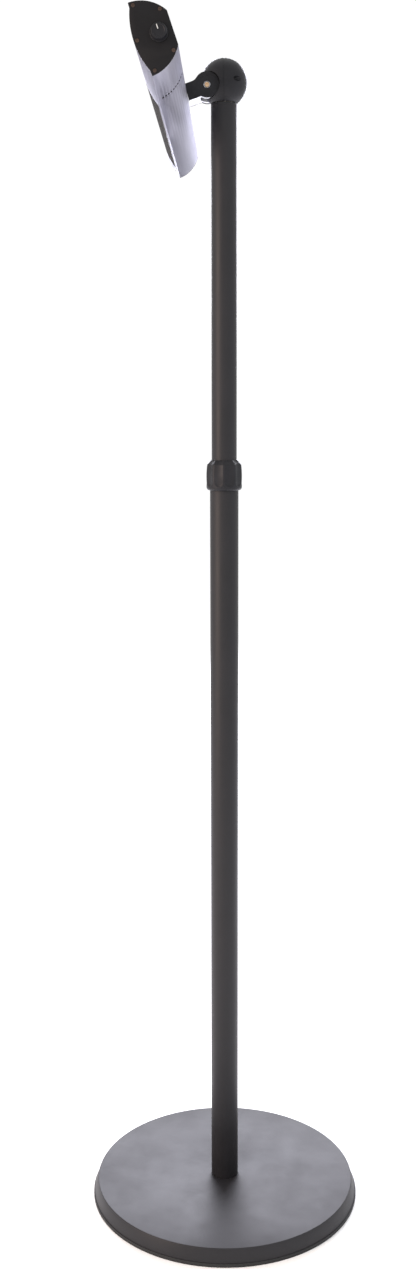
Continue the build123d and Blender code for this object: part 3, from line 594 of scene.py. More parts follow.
def round_bar(name, axis, radius, start, end, across, steps=64):
    """A round bar along X, Y or Z from start to end; across is its place in the other two."""
    pick_nothing()
    bpy.ops.mesh.primitive_cylinder_add(vertices=steps, radius=radius, depth=end - start)
    piece = bpy.context.object
    piece.name = name
    middle = (start + end) / 2
    place = {"X": (middle, *across), "Y": (across[0], middle, across[1]), "Z": (*across, middle)}[axis]
    turn = {"X": (0, math.pi / 2, 0), "Y": (-math.pi / 2, 0, 0), "Z": (0, 0, 0)}[axis]
    set_in_place(piece, Matrix.LocRotScale(Vector(place), Euler(turn), None))
    return piece


def square_block(name, low, high):
    """A block from its lowest corner to its highest one."""
    pick_nothing()
    bpy.ops.mesh.primitive_cube_add(size=1)
    piece = bpy.context.object
    piece.name = name
    low, high = Vector(low), Vector(high)
    set_in_place(piece, Matrix.LocRotScale((low + high) / 2, None, high - low))
    return piece


def set_in_place(piece, matrix):
    """Moves, turns or stretches the mesh itself, so that the object stays at the origin."""
    piece.data.transform(matrix)
    piece.data.update()


def combine(piece, tool, operation="DIFFERENCE"):
    """Cuts the tool from the piece, joins it on, or keeps what they share; uses the tool up."""
    joining = piece.modifiers.new("joining", "BOOLEAN")
    joining.operation = operation
    joining.solver = "EXACT"
    joining.object = tool
    apply_modifier(piece, joining)
    bpy.data.objects.remove(tool, do_unlink=True)
    return piece


def twin(piece, name):
    """A copy with a mesh of its own."""
    copy = piece.copy()
    copy.data = piece.data.copy()
    copy.name = name
    bpy.context.scene.collection.objects.link(copy)
    return copy


def ball_of(radius):
    """A sphere at the ball's centre, with its poles in front and behind."""
    pick_nothing()
    bpy.ops.mesh.primitive_uv_sphere_add(segments=ball_segments, ring_count=ball_rings, radius=radius)
    piece = bpy.context.object
    set_in_place(piece, Matrix.LocRotScale(Vector((0, 0, ball_height)), Euler((0, math.pi / 2, 0)), None))
    return piece


def hollow_ball():
    far = 2 * ball_radius
    ball = ball_of(ball_radius)
    lug = round_bar("lug", "Y", lug_radius, -lug_half_width, lug_half_width, (pivot.x, pivot.z), 96)
    round_edges(lug, 0.5 * mm)
    combine(ball, lug, "UNION")
    combine(ball, square_block("foot", (-far, -far, ball_low.z - far), (far, far, ball_low.z)))
    hollow = ball_of(ball_radius - ball_wall)
    combine(hollow, square_block("floor", (-far, -far, ball_low.z - far), (far, far, ball_low.z + ball_floor)))
    combine(hollow, round_bar("keep", "Y", pocket_radius + ball_wall, -far, far, (pivot.x, pivot.z)))
    for side in (-1, 1):
        boss_place = (side * well_offset, ball_height)
        combine(hollow, round_bar("boss", "X", screw_boss_radius, -far, far, boss_place, 48))
    combine(ball, hollow)
    for side in (-1, 1):
        pocket_ends = sorted((side * lug_half_width, side * far))
        combine(ball, round_bar("pocket", "Y", pocket_radius, *pocket_ends, (pivot.x, pivot.z), 96))
        well_place = (side * well_offset, ball_height + 0.5 * mm)
        combine(ball, round_bar("well", "X", well_radius, well_floor, far, well_place, 48))
        combine(ball, round_bar("screw_hole", "X", 1.95 * mm, -5.7 * mm, well_floor + mm, well_place, 32))
    combine(ball, round_bar("stem_hole", "Z", stem_hole_radius, ball_low.z - mm, ball_low.z + 3 * overcut, (0, 0), 96))
    room_low = ball_low.z + ball_floor
    combine(ball, round_bar("room", "Z", flange_room_radius, room_low, room_low + flange_room_height, (0, 0), 96))
    combine(ball, round_bar("pivot_hole", "Y", 3.05 * mm, -far, far, (pivot.x, pivot.z), 48))
    seam = round_bar("seam", "X", far, -seam_width / 2, seam_width / 2, (0, ball_height), ball_segments)
    core_radius = ball_radius - seam_depth
    core = round_bar("core", "X", core_radius, -seam_width, seam_width, (0, ball_height), ball_segments)
    combine(seam, core)
    combine(ball, seam)
    return ball


abs_moulded = moulded_plastic("abs_moulded_spark_eroded", abs_black, abs_worn, spark_grain, 0.42)
front_half = hollow_ball()
front_half.name = "ball_front_half"
rear_half = twin(front_half, "ball_rear_half")
far = 3 * ball_radius
combine(front_half, square_block("behind", (0, -far, 0), (far, far, 2)))
combine(rear_half, square_block("before", (-far, -far, 0), (0, far, 2)))
for half, node in ((front_half, "ball_shell_front"), (rear_half, "ball_shell_rear")):
    smooth_faces(half, 30.0)
    hand_over(half, abs_moulded, "ball", "black_plastic", node)
refinish("ball_screws", zinc)


# ------------------------------------------------------------------ tilting fork
# A fork milled from aluminium bar and clear anodised: its foot is screwed to the
# housing from inside, its two ears hold the ball's lug. Drawn upright round the
# pivot, with the heater towards -X, then leaned by 19 degrees into its place.
facing_down = 19.0
pivot_standoff = 32.8 * mm
ear_inner = 11.5 * mm
ear_outer = 20.5 * mm
fork_half_width = 23.0 * mm
ear_radius = 16.6 * mm
arm_above = 10.7 * mm
arm_below = 11.8 * mm
foot_thickness = 3.0 * mm
foot_margin = 1.6 * mm
fork_root = 17.9 * mm
screw_hole = 3.0 * mm
head_hole = 4.05 * mm
nut_hole = 5.75 * mm
head_recess = 1.5 * mm
lean = Matrix.LocRotScale(pivot, Euler((0, -math.radians(facing_down), 0)), None)
milled_light = "d9d9dd"
milled_dark = "c3c3c9"
mill_step = 0.5  # millimetres between the cutter's marks; coarser than real, to show


def milled_aluminium():
    """Aluminium milled, then anodised clear: fine straight cutter marks across the arm."""
    material, tree, shader = start_material("aluminium_milled_anodised")
    where = add_node(tree, "ShaderNodeTexCoord", {}, {}).outputs["Object"]
    stretched = add_node(tree, "ShaderNodeMapping", {}, {
        "Vector": where, "Scale": (1 / (mill_step * mm), 1 / (20.0 * mm), 1 / (mill_step * mm)),
    })
    marks = add_node(tree, "ShaderNodeTexNoise", {}, {
        "Vector": stretched.outputs["Vector"], "Scale": 1.0, "Detail": 2.0,
    })
    patches = add_node(tree, "ShaderNodeTexNoise", {}, {"Vector": where, "Scale": 1 / (9.0 * mm), "Detail": 4.0})
    tone = add_node(tree, "ShaderNodeMix", {"data_type": "RGBA"}, {
        "Factor": patches.outputs["Fac"], "A": linear_colour(milled_dark), "B": linear_colour(milled_light),
    })
    relief = add_node(
        tree, "ShaderNodeBump", {}, {"Height": marks.outputs["Fac"], "Strength": 0.2, "Distance": 0.02 * mm}
    )
    set_shader(tree, shader, {
        "Base Color": tone.outputs["Result"], "Metallic": 1.0, "Roughness": 0.42, "Normal": relief.outputs["Normal"],
    })
    return material


fork = square_block("tilt_fork", (-pivot_standoff + foot_thickness, -ear_outer, -arm_below), (0, ear_outer, arm_above))
combine(fork, round_bar("ears", "Y", ear_radius, -ear_outer, ear_outer, (0, 0), 96), "UNION")
foot_low = (-pivot_standoff, -fork_half_width, -arm_below - foot_margin)
foot_high = (-pivot_standoff + foot_thickness, fork_half_width, arm_above + foot_margin)
combine(fork, square_block("foot", foot_low, foot_high), "UNION")
combine(fork, round_bar("root", "Y", fork_root, -ear_inner, ear_inner, (0, 0), 96))
combine(fork, square_block("gap", (0, -ear_inner, -fork_root), (2 * ear_radius, ear_inner, fork_root)))
round_edges(fork, 0.35 * mm, 2)
combine(fork, round_bar("screw_hole", "Y", screw_hole, -ear_outer - mm, ear_outer + mm, (0, 0), 48))
combine(fork, round_bar("head_hole", "Y", head_hole, -ear_outer - mm, -ear_outer + head_recess, (0, 0), 48))
combine(fork, round_bar("nut_hole", "Y", nut_hole, ear_outer - head_recess, ear_outer + mm, (0, 0), 48))
for side in (-1, 1):
    tapping = (side * 13.0 * mm, -2.0 * mm)
    ends = (-pivot_standoff - mm, -pivot_standoff + 8.0 * mm)
    combine(fork, round_bar("tapping", "X", 2.5 * mm, *ends, tapping, 32))
set_in_place(fork, lean)
smooth_faces(fork, 30.0)
milled = milled_aluminium()
hand_over(fork, milled, "heater", "milled_aluminium", "fork_bracket")
refinish("swivel_plug", milled)


# ------------------------------------------------------------------ fork's side covers
# Two flat plates moulded in the same black ABS, pressed on the fork's cheeks by
# pegs. A round end sits over the pivot and runs into the arm by a hollow curve.
cover_plate_radius = 17.1 * mm
cover_hollow_radius = 12.0 * mm
cover_dish_radius = 12.4 * mm
cover_dish_depth = 0.35 * mm
cover_peg_radius = 1.5 * mm
cover_pegs = ((-24.5 * mm, -5.5 * mm), (-24.5 * mm, 5.5 * mm))
cover_peg_length = 3.85 * mm


def side_cover(side):
    """The plate between the fork's cheek and its own face, with a shallow dish round the screw."""
    inner, outer = sorted((side * ear_outer, side * fork_half_width))
    foot_back = -pivot_standoff + foot_thickness
    hollow_height = arm_above + cover_hollow_radius
    reach = math.sqrt((cover_plate_radius + cover_hollow_radius) ** 2 - hollow_height ** 2)
    share = cover_plate_radius / (cover_plate_radius + cover_hollow_radius)
    plate = square_block("plate", (foot_back, inner, -arm_below), (0, outer, arm_above))
    web = square_block("web", (-reach, inner, 0), (0, outer, hollow_height * share))
    combine(web, round_bar("hollow", "Y", cover_hollow_radius, inner - mm, outer + mm, (-reach, hollow_height), 128))
    slope = square_block("slope", (-reach, inner - mm, 0), (reach, outer + mm, 2 * reach))
    lift = Matrix.Rotation(-math.atan2(reach, hollow_height), 4, "Y")
    set_in_place(slope, lift @ Matrix.Translation((-reach, 0, 0)))
    combine(web, slope, "INTERSECT")
    combine(plate, web, "UNION")
    combine(plate, round_bar("round_end", "Y", cover_plate_radius, inner, outer, (0, 0), 128), "UNION")
    hole = head_hole + 0.6 * mm if side < 0 else nut_hole + 0.3 * mm
    combine(plate, round_bar("hole", "Y", hole, inner - mm, outer + mm, (0, 0), 64))
    dish = sorted((side * (fork_half_width - cover_dish_depth), side * (fork_half_width + mm)))
    combine(plate, round_bar("dish", "Y", cover_dish_radius, *dish, (0, 0), 128))
    for peg in cover_pegs:
        ends = sorted((side * (ear_outer - cover_peg_length), side * (ear_outer + mm)))
        combine(plate, round_bar("peg", "Y", cover_peg_radius, *ends, peg, 24), "UNION")
    return plate


for side, name in ((-1, "near"), (1, "far")):
    plate = side_cover(side)
    plate.name = f"fork_cover_{name}"
    round_edges(plate, 0.3 * mm, 2, 40.0)
    set_in_place(plate, lean)
    smooth_faces(plate, 30.0)
    hand_over(plate, abs_moulded, "heater", "black_plastic", f"arm_cover_{name}")


# ------------------------------------------------------------------ tilt pivot
# An M6 socket screw through both ears and the lug, with a hexagon nut and two
# acetal washers that give the tilt its friction. Zinc, passivated yellow.
pivot_head_radius = 3.4 * mm
pivot_socket = 1.9 * mm
pivot_socket_depth = 1.8 * mm
pivot_face = -fork_half_width + 1.6 * mm
pivot_seat = -ear_outer + head_recess
yellow_zinc = "d2b98e"
yellow_zinc_pink = "c9a08a"

yellow = plated_steel("steel_yellow_passivated", yellow_zinc, yellow_zinc_pink, 0.32)
pivot_screw = round_bar("tilt_screw", "Y", pivot_head_radius, pivot_face, pivot_seat, (0, 0), 64)
round_edges(pivot_screw, 0.4 * mm)
shank_ends = (pivot_seat - mm, fork_half_width - 0.15 * mm)
combine(pivot_screw, round_bar("shank", "Y", screw_hole - 0.05 * mm, *shank_ends, (0, 0), 48), "UNION")
socket_ends = (pivot_face - mm, pivot_face + pivot_socket_depth)
combine(pivot_screw, round_bar("socket", "Y", pivot_socket, *socket_ends, (0, 0), 6))
set_in_place(pivot_screw, lean)
smooth_faces(pivot_screw, 30.0)
hand_over(pivot_screw, yellow, "heater", "yellow_steel", "pivot_screw")
refinish("pivot_nut", yellow)
refinish("pivot_washers", acetal)


# ------------------------------------------------------------------ heater housing
# An aluminium extrusion with channels for the caps' screws, its window and vents
# cut on a mill, then brushed along its length and anodised clear.
# Its section is drawn with the middle of the flat back at (0, 0) and the front at -X.
heater_half = 370.0 * mm
cap_thickness = 3.0 * mm
housing_half = heater_half - cap_thickness
housing_drop = 2.0 * mm
housing_wall = 1.8 * mm
back_flat_half = 19.3 * mm
side_arc_radius = 46.5 * mm
side_arc_depth = 39.5 * mm
tip = Vector((-39.0, 41.3)) * mm
lip = Vector((-39.3, 35.0)) * mm
front_depth = 46.5 * mm
front_screw = (-42.5 * mm, 0.0)
corner_screw = (-34.4 * mm, 36.8 * mm)
shoulder_screw = (-7.0 * mm, 23.3 * mm)
channel_radius = 2.9 * mm
channel_bore = 1.45 * mm
window_half = 32.0 * mm
window_start = -165.0 * mm
window_end = 328.0 * mm
window_sill = -37.3 * mm
vents = 10
vent_first = 8.0
vent_pitch = 5.0
vent_width = 2.3 * mm
vent_length = 9.0 * mm
vent_middle = -243.0 * mm
arc_steps = 40
section_place = Matrix.Translation((-pivot_standoff, 0, -housing_drop))
anodised_light = "a3a2aa"
anodised_dark = "8f8e96"
anodised_edge = "85858c"  # the oxide dims what it mirrors at a slant
brush_pitch = 0.45  # millimetres between scratches; coarser than real, to show
brush_length = 60.0  # millimetres, one scratch


def arc_through(first, middle, last, steps=arc_steps):
    """Points from first to last on the circle through the three."""
    first, middle, last = Vector(first), Vector(middle), Vector(last)
    chord_a, chord_b = middle - first, last - first
    twice = 2 * (chord_a.x * chord_b.y - chord_a.y * chord_b.x)
    square_a, square_b = chord_a.length_squared, chord_b.length_squared
    centre = first + Vector((
        (chord_b.y * square_a - chord_a.y * square_b) / twice,
        (chord_a.x * square_b - chord_b.x * square_a) / twice,
    ))
    spoke = first - centre
    sweep = spoke.angle_signed(last - centre)
    points = []
    for step in range(steps + 1):
        turned_spoke = Matrix.Rotation(-sweep * step / steps, 2) @ spoke
        points.append(centre + turned_spoke)
    return points


def section_corners(inset=0.0):
    """The housing's outline, or the same outline drawn smaller by inset all round."""
    flat = Vector((-inset, back_flat_half - 0.45 * inset))
    outer_tip = tip + Vector((0.75, -2.1)) * inset
    outer_lip = lip + Vector((1.0, -1.3)) * inset
    drop = math.sqrt(side_arc_radius ** 2 - side_arc_depth ** 2) - back_flat_half
    half_way = math.radians(28.0)
    bulge = side_arc_radius - inset
    side_middle = Vector((-side_arc_depth + bulge * math.sin(half_way), -drop + bulge * math.cos(half_way)))
    upper = arc_through(flat, side_middle, outer_tip)
    front = arc_through(outer_lip, (-front_depth + inset, 0), outer_lip * Vector((1, -1)))
    lower = [point * Vector((1, -1)) for point in reversed(upper)]
    return upper + front + lower


def extruded(name, corners, start, end):
    """A prism: an outline of (x, z) corners drawn at the height start and extruded along Y."""
    pick_nothing()
    bpy.ops.mesh.primitive_circle_add(vertices=len(corners), fill_type="NGON")
    piece = bpy.context.object
    piece.name = name
    for point, corner in zip(piece.data.vertices, corners):
        point.co = (corner[0], start, corner[1])
    bpy.ops.object.mode_set(mode="EDIT")
    bpy.ops.mesh.select_all(action="SELECT")
    bpy.ops.mesh.extrude_region_move(TRANSFORM_OT_translate={"value": (0, end - start, 0)})
    bpy.ops.mesh.select_all(action="SELECT")
    bpy.ops.mesh.normals_make_consistent(inside=False)
    bpy.ops.object.mode_set(mode="OBJECT")
    return piece


def cap_screw_points():
    points = [front_screw]
    for side in (-1, 1):
        points.append((corner_screw[0], side * corner_screw[1]))
        points.append((shoulder_screw[0], side * shoulder_screw[1]))
    return points


def vent_tools():
    """Round-ended cutters for both rows of vents, joined into one, each square to the wall."""
    drop = math.sqrt(side_arc_radius ** 2 - side_arc_depth ** 2) - back_flat_half
    first_tool = round_bar("vent_tool", "X", vent_width / 2, -4 * housing_wall, 4 * housing_wall, (0, 0), 24)
    for point in first_tool.data.vertices:
        point.co.y += math.copysign((vent_length - vent_width) / 2, point.co.y)
    tools = []
    for index in range(vents):
        angle = math.radians(vent_first + index * vent_pitch)
        for side in (-1, 1):
            tool = twin(first_tool, "vent_tool")
            centre = Matrix.Translation((-side_arc_depth, vent_middle, -side * drop))
            turn = Matrix.Rotation(-side * (math.pi / 2 - angle), 4, "Y")
            set_in_place(tool, centre @ turn @ Matrix.Translation((side_arc_radius, 0, 0)))
            tools.append(tool)
    bpy.data.objects.remove(first_tool, do_unlink=True)
    return join_pieces(tools)


def join_pieces(pieces):
    """Joins several meshes into the first one's object."""
    pick_nothing()
    for piece in pieces:
        piece.select_set(True)
    bpy.context.view_layer.objects.active = pieces[0]
    bpy.ops.object.join()
    return pieces[0]


def brushed_aluminium():
    """Aluminium brushed along the housing and anodised: long fine scratches that spread the
    gloss across them, with faint long bands where the brush pressed harder."""
    material, tree, shader = start_material("aluminium_brushed_anodised")
    where = add_node(tree, "ShaderNodeTexCoord", {}, {}).outputs["Object"]
    along = add_node(tree, "ShaderNodeMapping", {}, {
        "Vector": where, "Scale": (1 / (brush_pitch * mm), 1 / (brush_length * mm), 1 / (brush_pitch * mm)),
    })
    scratches = add_node(tree, "ShaderNodeTexNoise", {}, {
        "Vector": along.outputs["Vector"], "Scale": 1.0, "Detail": 3.0, "Roughness": 0.6,
    })
    wide = add_node(tree, "ShaderNodeMapping", {}, {
        "Vector": where, "Scale": (1 / (7.0 * mm), 1 / (260.0 * mm), 1 / (7.0 * mm)),
    })
    bands = add_node(tree, "ShaderNodeTexNoise", {}, {
        "Vector": wide.outputs["Vector"], "Scale": 1.0, "Detail": 3.0,
    })
    blend = add_node(tree, "ShaderNodeMath", {"operation": "MULTIPLY_ADD"}, {0: scratches.outputs["Fac"], 1: 0.45, 2: 0.0})
    both = add_node(tree, "ShaderNodeMath", {"operation": "MULTIPLY_ADD"}, {
        0: bands.outputs["Fac"], 1: 0.55, 2: blend.outputs["Value"],
    })
    spread = add_node(tree, "ShaderNodeMapRange", {}, {"Value": both.outputs["Value"], "From Min": 0.32, "From Max": 0.68})
    tone = add_node(tree, "ShaderNodeMix", {"data_type": "RGBA"}, {
        "Factor": spread.outputs["Result"], "A": linear_colour(anodised_dark), "B": linear_colour(anodised_light),
    })
    gloss = add_node(tree, "ShaderNodeMapRange", {}, {
        "Value": scratches.outputs["Fac"], "From Min": 0.3, "From Max": 0.7, "To Min": 0.36, "To Max": 0.5,
    })
    relief = add_node(
        tree, "ShaderNodeBump", {}, {"Height": scratches.outputs["Fac"], "Strength": 0.35, "Distance": 0.03 * mm}
    )
    set_shader(tree, shader, {
        "Base Color": tone.outputs["Result"], "Metallic": 1.0, "Roughness": gloss.outputs["Result"],
        "Anisotropic": 0.5, "Normal": relief.outputs["Normal"],
        "Specular Tint": linear_colour(anodised_edge),
    })
    return material


housing = extruded("heater_housing", section_corners(), -housing_half, housing_half)
round_edges(housing, 0.4 * mm, 2, 25.0)
hollow = extruded("hollow", section_corners(housing_wall), -housing_half - overcut, housing_half + overcut)
long_ends = (-heater_half - 2 * overcut, heater_half + 2 * overcut)
for point in cap_screw_points():
    combine(hollow, round_bar("channel", "Y", channel_radius, *long_ends, point, 32))
combine(housing, hollow)
for point in cap_screw_points():
    combine(housing, round_bar("bore", "Y", channel_bore, *long_ends, point, 24))
combine(housing, square_block(
    "window", (-2 * front_depth, window_start, -window_half), (window_sill, window_end, window_half)
))
combine(housing, vent_tools())
for side in (-1, 1):
    combine(housing, round_bar("hole", "X", 2.65 * mm, -2 * housing_wall, mm, (side * 13.0 * mm, 0), 32))
set_in_place(housing, lean @ section_place)
smooth_faces(housing, 25.0)
brushed = brushed_aluminium()
hand_over(housing, brushed, "heater", "aluminium", "housing")


# ------------------------------------------------------------------ end caps
# Plates moulded in black ABS that close the housing flush, each with a low lip
# inside and five countersunk screws into the extrusion's channels.
cap_edge = 0.5 * mm
cap_lip_depth = 6.0 * mm
cap_lip_wall = 2.0 * mm
cap_fit = 0.15 * mm
cap_head_radius = 2.3 * mm
cap_head_height = 1.5 * mm
cap_shank_length = 12.0 * mm
cross_half_width = 0.37 * mm
cross_half_length = 1.43 * mm
cross_depth = 0.9 * mm
knob_depth = 16.4 * mm
shaft_hole = 3.35 * mm
gland_hole = 6.0 * mm
cap_black = "0e0d0f"
cap_worn = "171618"
bronze_brown = "625149"
bronze_dark = "4c413b"


def end_cap(side):
    cap = extruded("cap", section_corners(), *sorted((side * housing_half, side * heater_half)))
    round_edges(cap, cap_edge, 2, 25.0)
    lip_ends = sorted((side * (housing_half - cap_lip_depth), side * (housing_half + mm)))
    lip_ring = extruded("lip", section_corners(housing_wall + cap_fit), *lip_ends)
    room_ends = (lip_ends[0] - overcut, lip_ends[1] + overcut)
    combine(lip_ring, extruded("room", section_corners(housing_wall + cap_fit + cap_lip_wall), *room_ends))
    for point in cap_screw_points():
        combine(lip_ring, round_bar("channel", "Y", channel_radius + cap_fit, *room_ends, point, 32))
    combine(cap, lip_ring, "UNION")
    face = side * heater_half
    for point in cap_screw_points():
        sink = sorted((face - side * cap_head_height, face + side * mm))
        combine(cap, round_bar("sink", "Y", cap_head_radius + cap_fit, *sink, point, 48))
        combine(cap, round_bar("hole", "Y", channel_bore + cap_fit, *long_ends, point, 24))
    hole = shaft_hole if side < 0 else gland_hole
    combine(cap, round_bar("hole", "Y", hole, *long_ends, (-knob_depth, 0), 64))
    return cap


def cap_screw():
    """A countersunk screw with a cross recess, its face at the origin and facing +Z."""
    screw = turned_piece("cap_screw", [
        (0.02 * mm, 0.0),
        (cap_head_radius - 0.25 * mm, 0.0),
        (cap_head_radius, -0.25 * mm),
        (cap_head_radius, -0.45 * mm),
        (channel_bore, -cap_head_height),
        (channel_bore, -cap_shank_length + mm),
        (0.5 * channel_bore, -cap_shank_length),
    ], 32, False)
    for wide, high in ((cross_half_length, cross_half_width), (cross_half_width, cross_half_length)):
        combine(screw, square_block("cross", (-wide, -high, -cross_depth), (wide, high, mm)))
    return screw


cap_plastic = moulded_plastic("abs_moulded_matt", cap_black, cap_worn, spark_grain, 0.52)
bronzed = plated_steel("steel_passivated_bronze", bronze_dark, bronze_brown, 0.42)
screw_pattern = cap_screw()
for side, name in ((-1, "near"), (1, "far")):
    cap = end_cap(side)
    cap.name = f"cap_{name}"
    set_in_place(cap, lean @ section_place)
    smooth_faces(cap, 25.0)
    hand_over(cap, cap_plastic, "heater", "black_plastic", f"end_cap_{name}")
    screws = []
    for index, point in enumerate(cap_screw_points()):
        screw = twin(screw_pattern, f"cap_screws_{name}")
        spin = Matrix.Rotation(math.radians(37.0 * index), 4, "Z")
        facing = Matrix.Rotation(-side * math.pi / 2, 4, "X")
        place = Matrix.Translation((point[0], side * heater_half, point[1]))
        set_in_place(screw, lean @ section_place @ place @ facing @ spin)
        screws.append(screw)
    screws = join_pieces(screws)
    smooth_faces(screws, 30.0)
    hand_over(screws, bronzed, "heater", "yellow_steel", f"end_cap_screws_{name}")
bpy.data.objects.remove(screw_pattern, do_unlink=True)


# ------------------------------------------------------------------ reflector
# A trough folded from 0.8 mm aluminium sheet, polished on the lamp's side, that
# throws the heat out of the window.
reflector_front = -34.7 * mm
reflector_deepest = -9.7 * mm
reflector_half = 30.6 * mm
reflector_sheet = 0.8 * mm
polished_light = "eeeeee"
polished_warm = "dedcd6"


def polished_sheet():
    """Polished aluminium sheet: nearly a mirror, with the long faint waves of the rolling mill."""
    material, tree, shader = start_material("aluminium_polished_sheet")
    where = add_node(tree, "ShaderNodeTexCoord", {}, {}).outputs["Object"]
    along = add_node(tree, "ShaderNodeMapping", {}, {
        "Vector": where, "Scale": (1 / (3.0 * mm), 1 / (90.0 * mm), 1 / (3.0 * mm)),
    })
    waves = add_node(tree, "ShaderNodeTexNoise", {}, {"Vector": along.outputs["Vector"], "Scale": 1.0, "Detail": 2.0})
    tone = add_node(tree, "ShaderNodeMix", {"data_type": "RGBA"}, {
        "Factor": waves.outputs["Fac"], "A": linear_colour(polished_warm), "B": linear_colour(polished_light),
    })
    relief = add_node(
        tree, "ShaderNodeBump", {}, {"Height": waves.outputs["Fac"], "Strength": 0.3, "Distance": 0.05 * mm}
    )
    set_shader(tree, shader, {
        "Base Color": tone.outputs["Result"], "Metallic": 1.0, "Roughness": 0.16, "Normal": relief.outputs["Normal"],
    })
    return material


trough_outside = arc_through(
    (reflector_front, reflector_half), (reflector_deepest, 0), (reflector_front, -reflector_half)
)
inner_half = reflector_half - reflector_sheet
trough_inside = arc_through(
    (reflector_front, -inner_half), (reflector_deepest - reflector_sheet, 0), (reflector_front, inner_half)
)
reflector = extruded("reflector_trough", trough_outside + trough_inside, window_start, window_end)
set_in_place(reflector, lean @ section_place)
smooth_faces(reflector, 30.0)
hand_over(reflector, polished_sheet(), "heater", "polished_aluminium", "reflector")


# ------------------------------------------------------------------ lamp
# A clear quartz tube pinched at both ends, with a coiled carbon strand inside.
# Steatite blocks hold it in front of the reflector.
lamp_radius = 5.5 * mm
lamp_glass = 1.0 * mm
lamp_depth = 29.0 * mm
lamp_start = window_start + 8.0 * mm
lamp_end = window_end - 8.0 * mm
lamp_seat = 12.0 * mm
coil_radius = 1.25 * mm
strand_radius = 0.32 * mm
coil_pitch = 2.2 * mm
coil_points = 10
holder_length = 16.0 * mm
holder_height = 19.0 * mm
holder_depth = 14.0 * mm
quartz_tint = "f2f5f8"
carbon_black = "151515"
carbon_grey = "2c2c2e"
steatite_cream = "ddd6c6"
steatite_speck = "c2b9a6"


def quartz():
    """Drawn quartz: clear, with a slow change of gloss from the drawing."""
    material, tree, shader = start_material("quartz_drawn_clear")
    where = add_node(tree, "ShaderNodeTexCoord", {}, {}).outputs["Object"]
    drawing = add_node(tree, "ShaderNodeTexNoise", {}, {"Vector": where, "Scale": 1 / (12.0 * mm), "Detail": 2.0})
    gloss = add_node(tree, "ShaderNodeMapRange", {}, {"Value": drawing.outputs["Fac"], "To Min": 0.02, "To Max": 0.09})
    set_shader(tree, shader, {
        "Base Color": linear_colour(quartz_tint), "Roughness": gloss.outputs["Result"], "IOR": 1.458,
        "Transmission Weight": 1.0,
    })
    return material


def speckled(name, dark, light, size, roughness, bump):
    """A dull solid with a fine speckle: fired ceramic, or woven carbon fibre."""
    material, tree, shader = start_material(name)
    where = add_node(tree, "ShaderNodeTexCoord", {}, {}).outputs["Object"]
    speck = add_node(tree, "ShaderNodeTexNoise", {}, {"Vector": where, "Scale": 1 / (size * mm), "Detail": 4.0})
    tone = add_node(tree, "ShaderNodeMix", {"data_type": "RGBA"}, {
        "Factor": speck.outputs["Fac"], "A": linear_colour(dark), "B": linear_colour(light),
    })
    relief = add_node(
        tree, "ShaderNodeBump", {}, {"Height": speck.outputs["Fac"], "Strength": 0.4, "Distance": bump * mm}
    )
    set_shader(tree, shader, {
        "Base Color": tone.outputs["Result"], "Roughness": roughness, "Normal": relief.outputs["Normal"],
    })
    return material


lamp_place = lean @ section_place @ Matrix.Translation((-lamp_depth, 0, 0)) @ Matrix.Rotation(-math.pi / 2, 4, "X")
bore_radius = lamp_radius - lamp_glass
lamp = turned_piece("lamp_tube", [
    (0.6 * mm, lamp_start),
    (0.6 * lamp_radius, lamp_start),
    (0.92 * lamp_radius, lamp_start + 1.2 * mm),
    (lamp_radius, lamp_start + 3.0 * mm),
    (lamp_radius, lamp_end - 3.0 * mm),
    (0.92 * lamp_radius, lamp_end - 1.2 * mm),
    (0.6 * lamp_radius, lamp_end),
    (0.6 * mm, lamp_end),
    (0.6 * mm, lamp_end - lamp_seat),
    (0.8 * bore_radius, lamp_end - lamp_seat),
    (bore_radius, lamp_end - lamp_seat - 2.0 * mm),
    (bore_radius, lamp_start + lamp_seat + 2.0 * mm),
    (0.8 * bore_radius, lamp_start + lamp_seat),
    (0.6 * mm, lamp_start + lamp_seat),
], 48, True)
set_in_place(lamp, lamp_place)
smooth_faces(lamp, 40.0)
hand_over(lamp, quartz(), "heater", "quartz", "heating_tube")

coil_start = lamp_start + lamp_seat + 0.5 * mm
coil_end = lamp_end - lamp_seat - 0.5 * mm
coil_turns = int((coil_end - coil_start) / coil_pitch)
coil_line = bpy.data.curves.new("coil_line", "CURVE")
coil_line.dimensions = "3D"
coil_line.bevel_depth = strand_radius
coil_line.bevel_resolution = 1
coil_line.use_fill_caps = True
strand = coil_line.splines.new("POLY")
strand.points.add(coil_turns * coil_points)
for index, point in enumerate(strand.points):
    turn = math.tau * index / coil_points
    height = coil_start + (coil_end - coil_start) * index / (coil_turns * coil_points)
    point.co = (coil_radius * math.cos(turn), coil_radius * math.sin(turn), height, 1)
coil_object = bpy.data.objects.new("coil_line", coil_line)
bpy.context.scene.collection.objects.link(coil_object)
filament = bpy.data.objects.new("lamp_filament", bpy.data.meshes.new_from_object(coil_object))
bpy.context.scene.collection.objects.link(filament)
bpy.data.objects.remove(coil_object, do_unlink=True)
set_in_place(filament, lamp_place)
smooth_faces(filament, 50.0)
carbon = speckled("carbon_fibre_coiled", carbon_black, carbon_grey, 0.3, 0.6, 0.03)
hand_over(filament, carbon, "heater", "carbon", "filament")

holders = []
for start in (lamp_start, lamp_end - holder_length):
    low = (-lamp_depth - holder_depth / 2, start, -holder_height / 2)
    high = (-lamp_depth + holder_depth / 2, start + holder_length, holder_height / 2)
    holder = square_block("lamp_holders", low, high)
    round_edges(holder, 0.8 * mm)
    ends = (start - mm, start + holder_length + mm)
    combine(holder, round_bar("seat", "Y", lamp_radius + 0.15 * mm, *ends, (-lamp_depth, 0), 48))
    holders.append(holder)
holders = join_pieces(holders)
set_in_place(holders, lean @ section_place)
smooth_faces(holders, 30.0)
steatite = speckled("steatite_fired", steatite_speck, steatite_cream, 0.6, 0.62, 0.03)
hand_over(holders, steatite, "heater", "steatite", "lamp_holders")


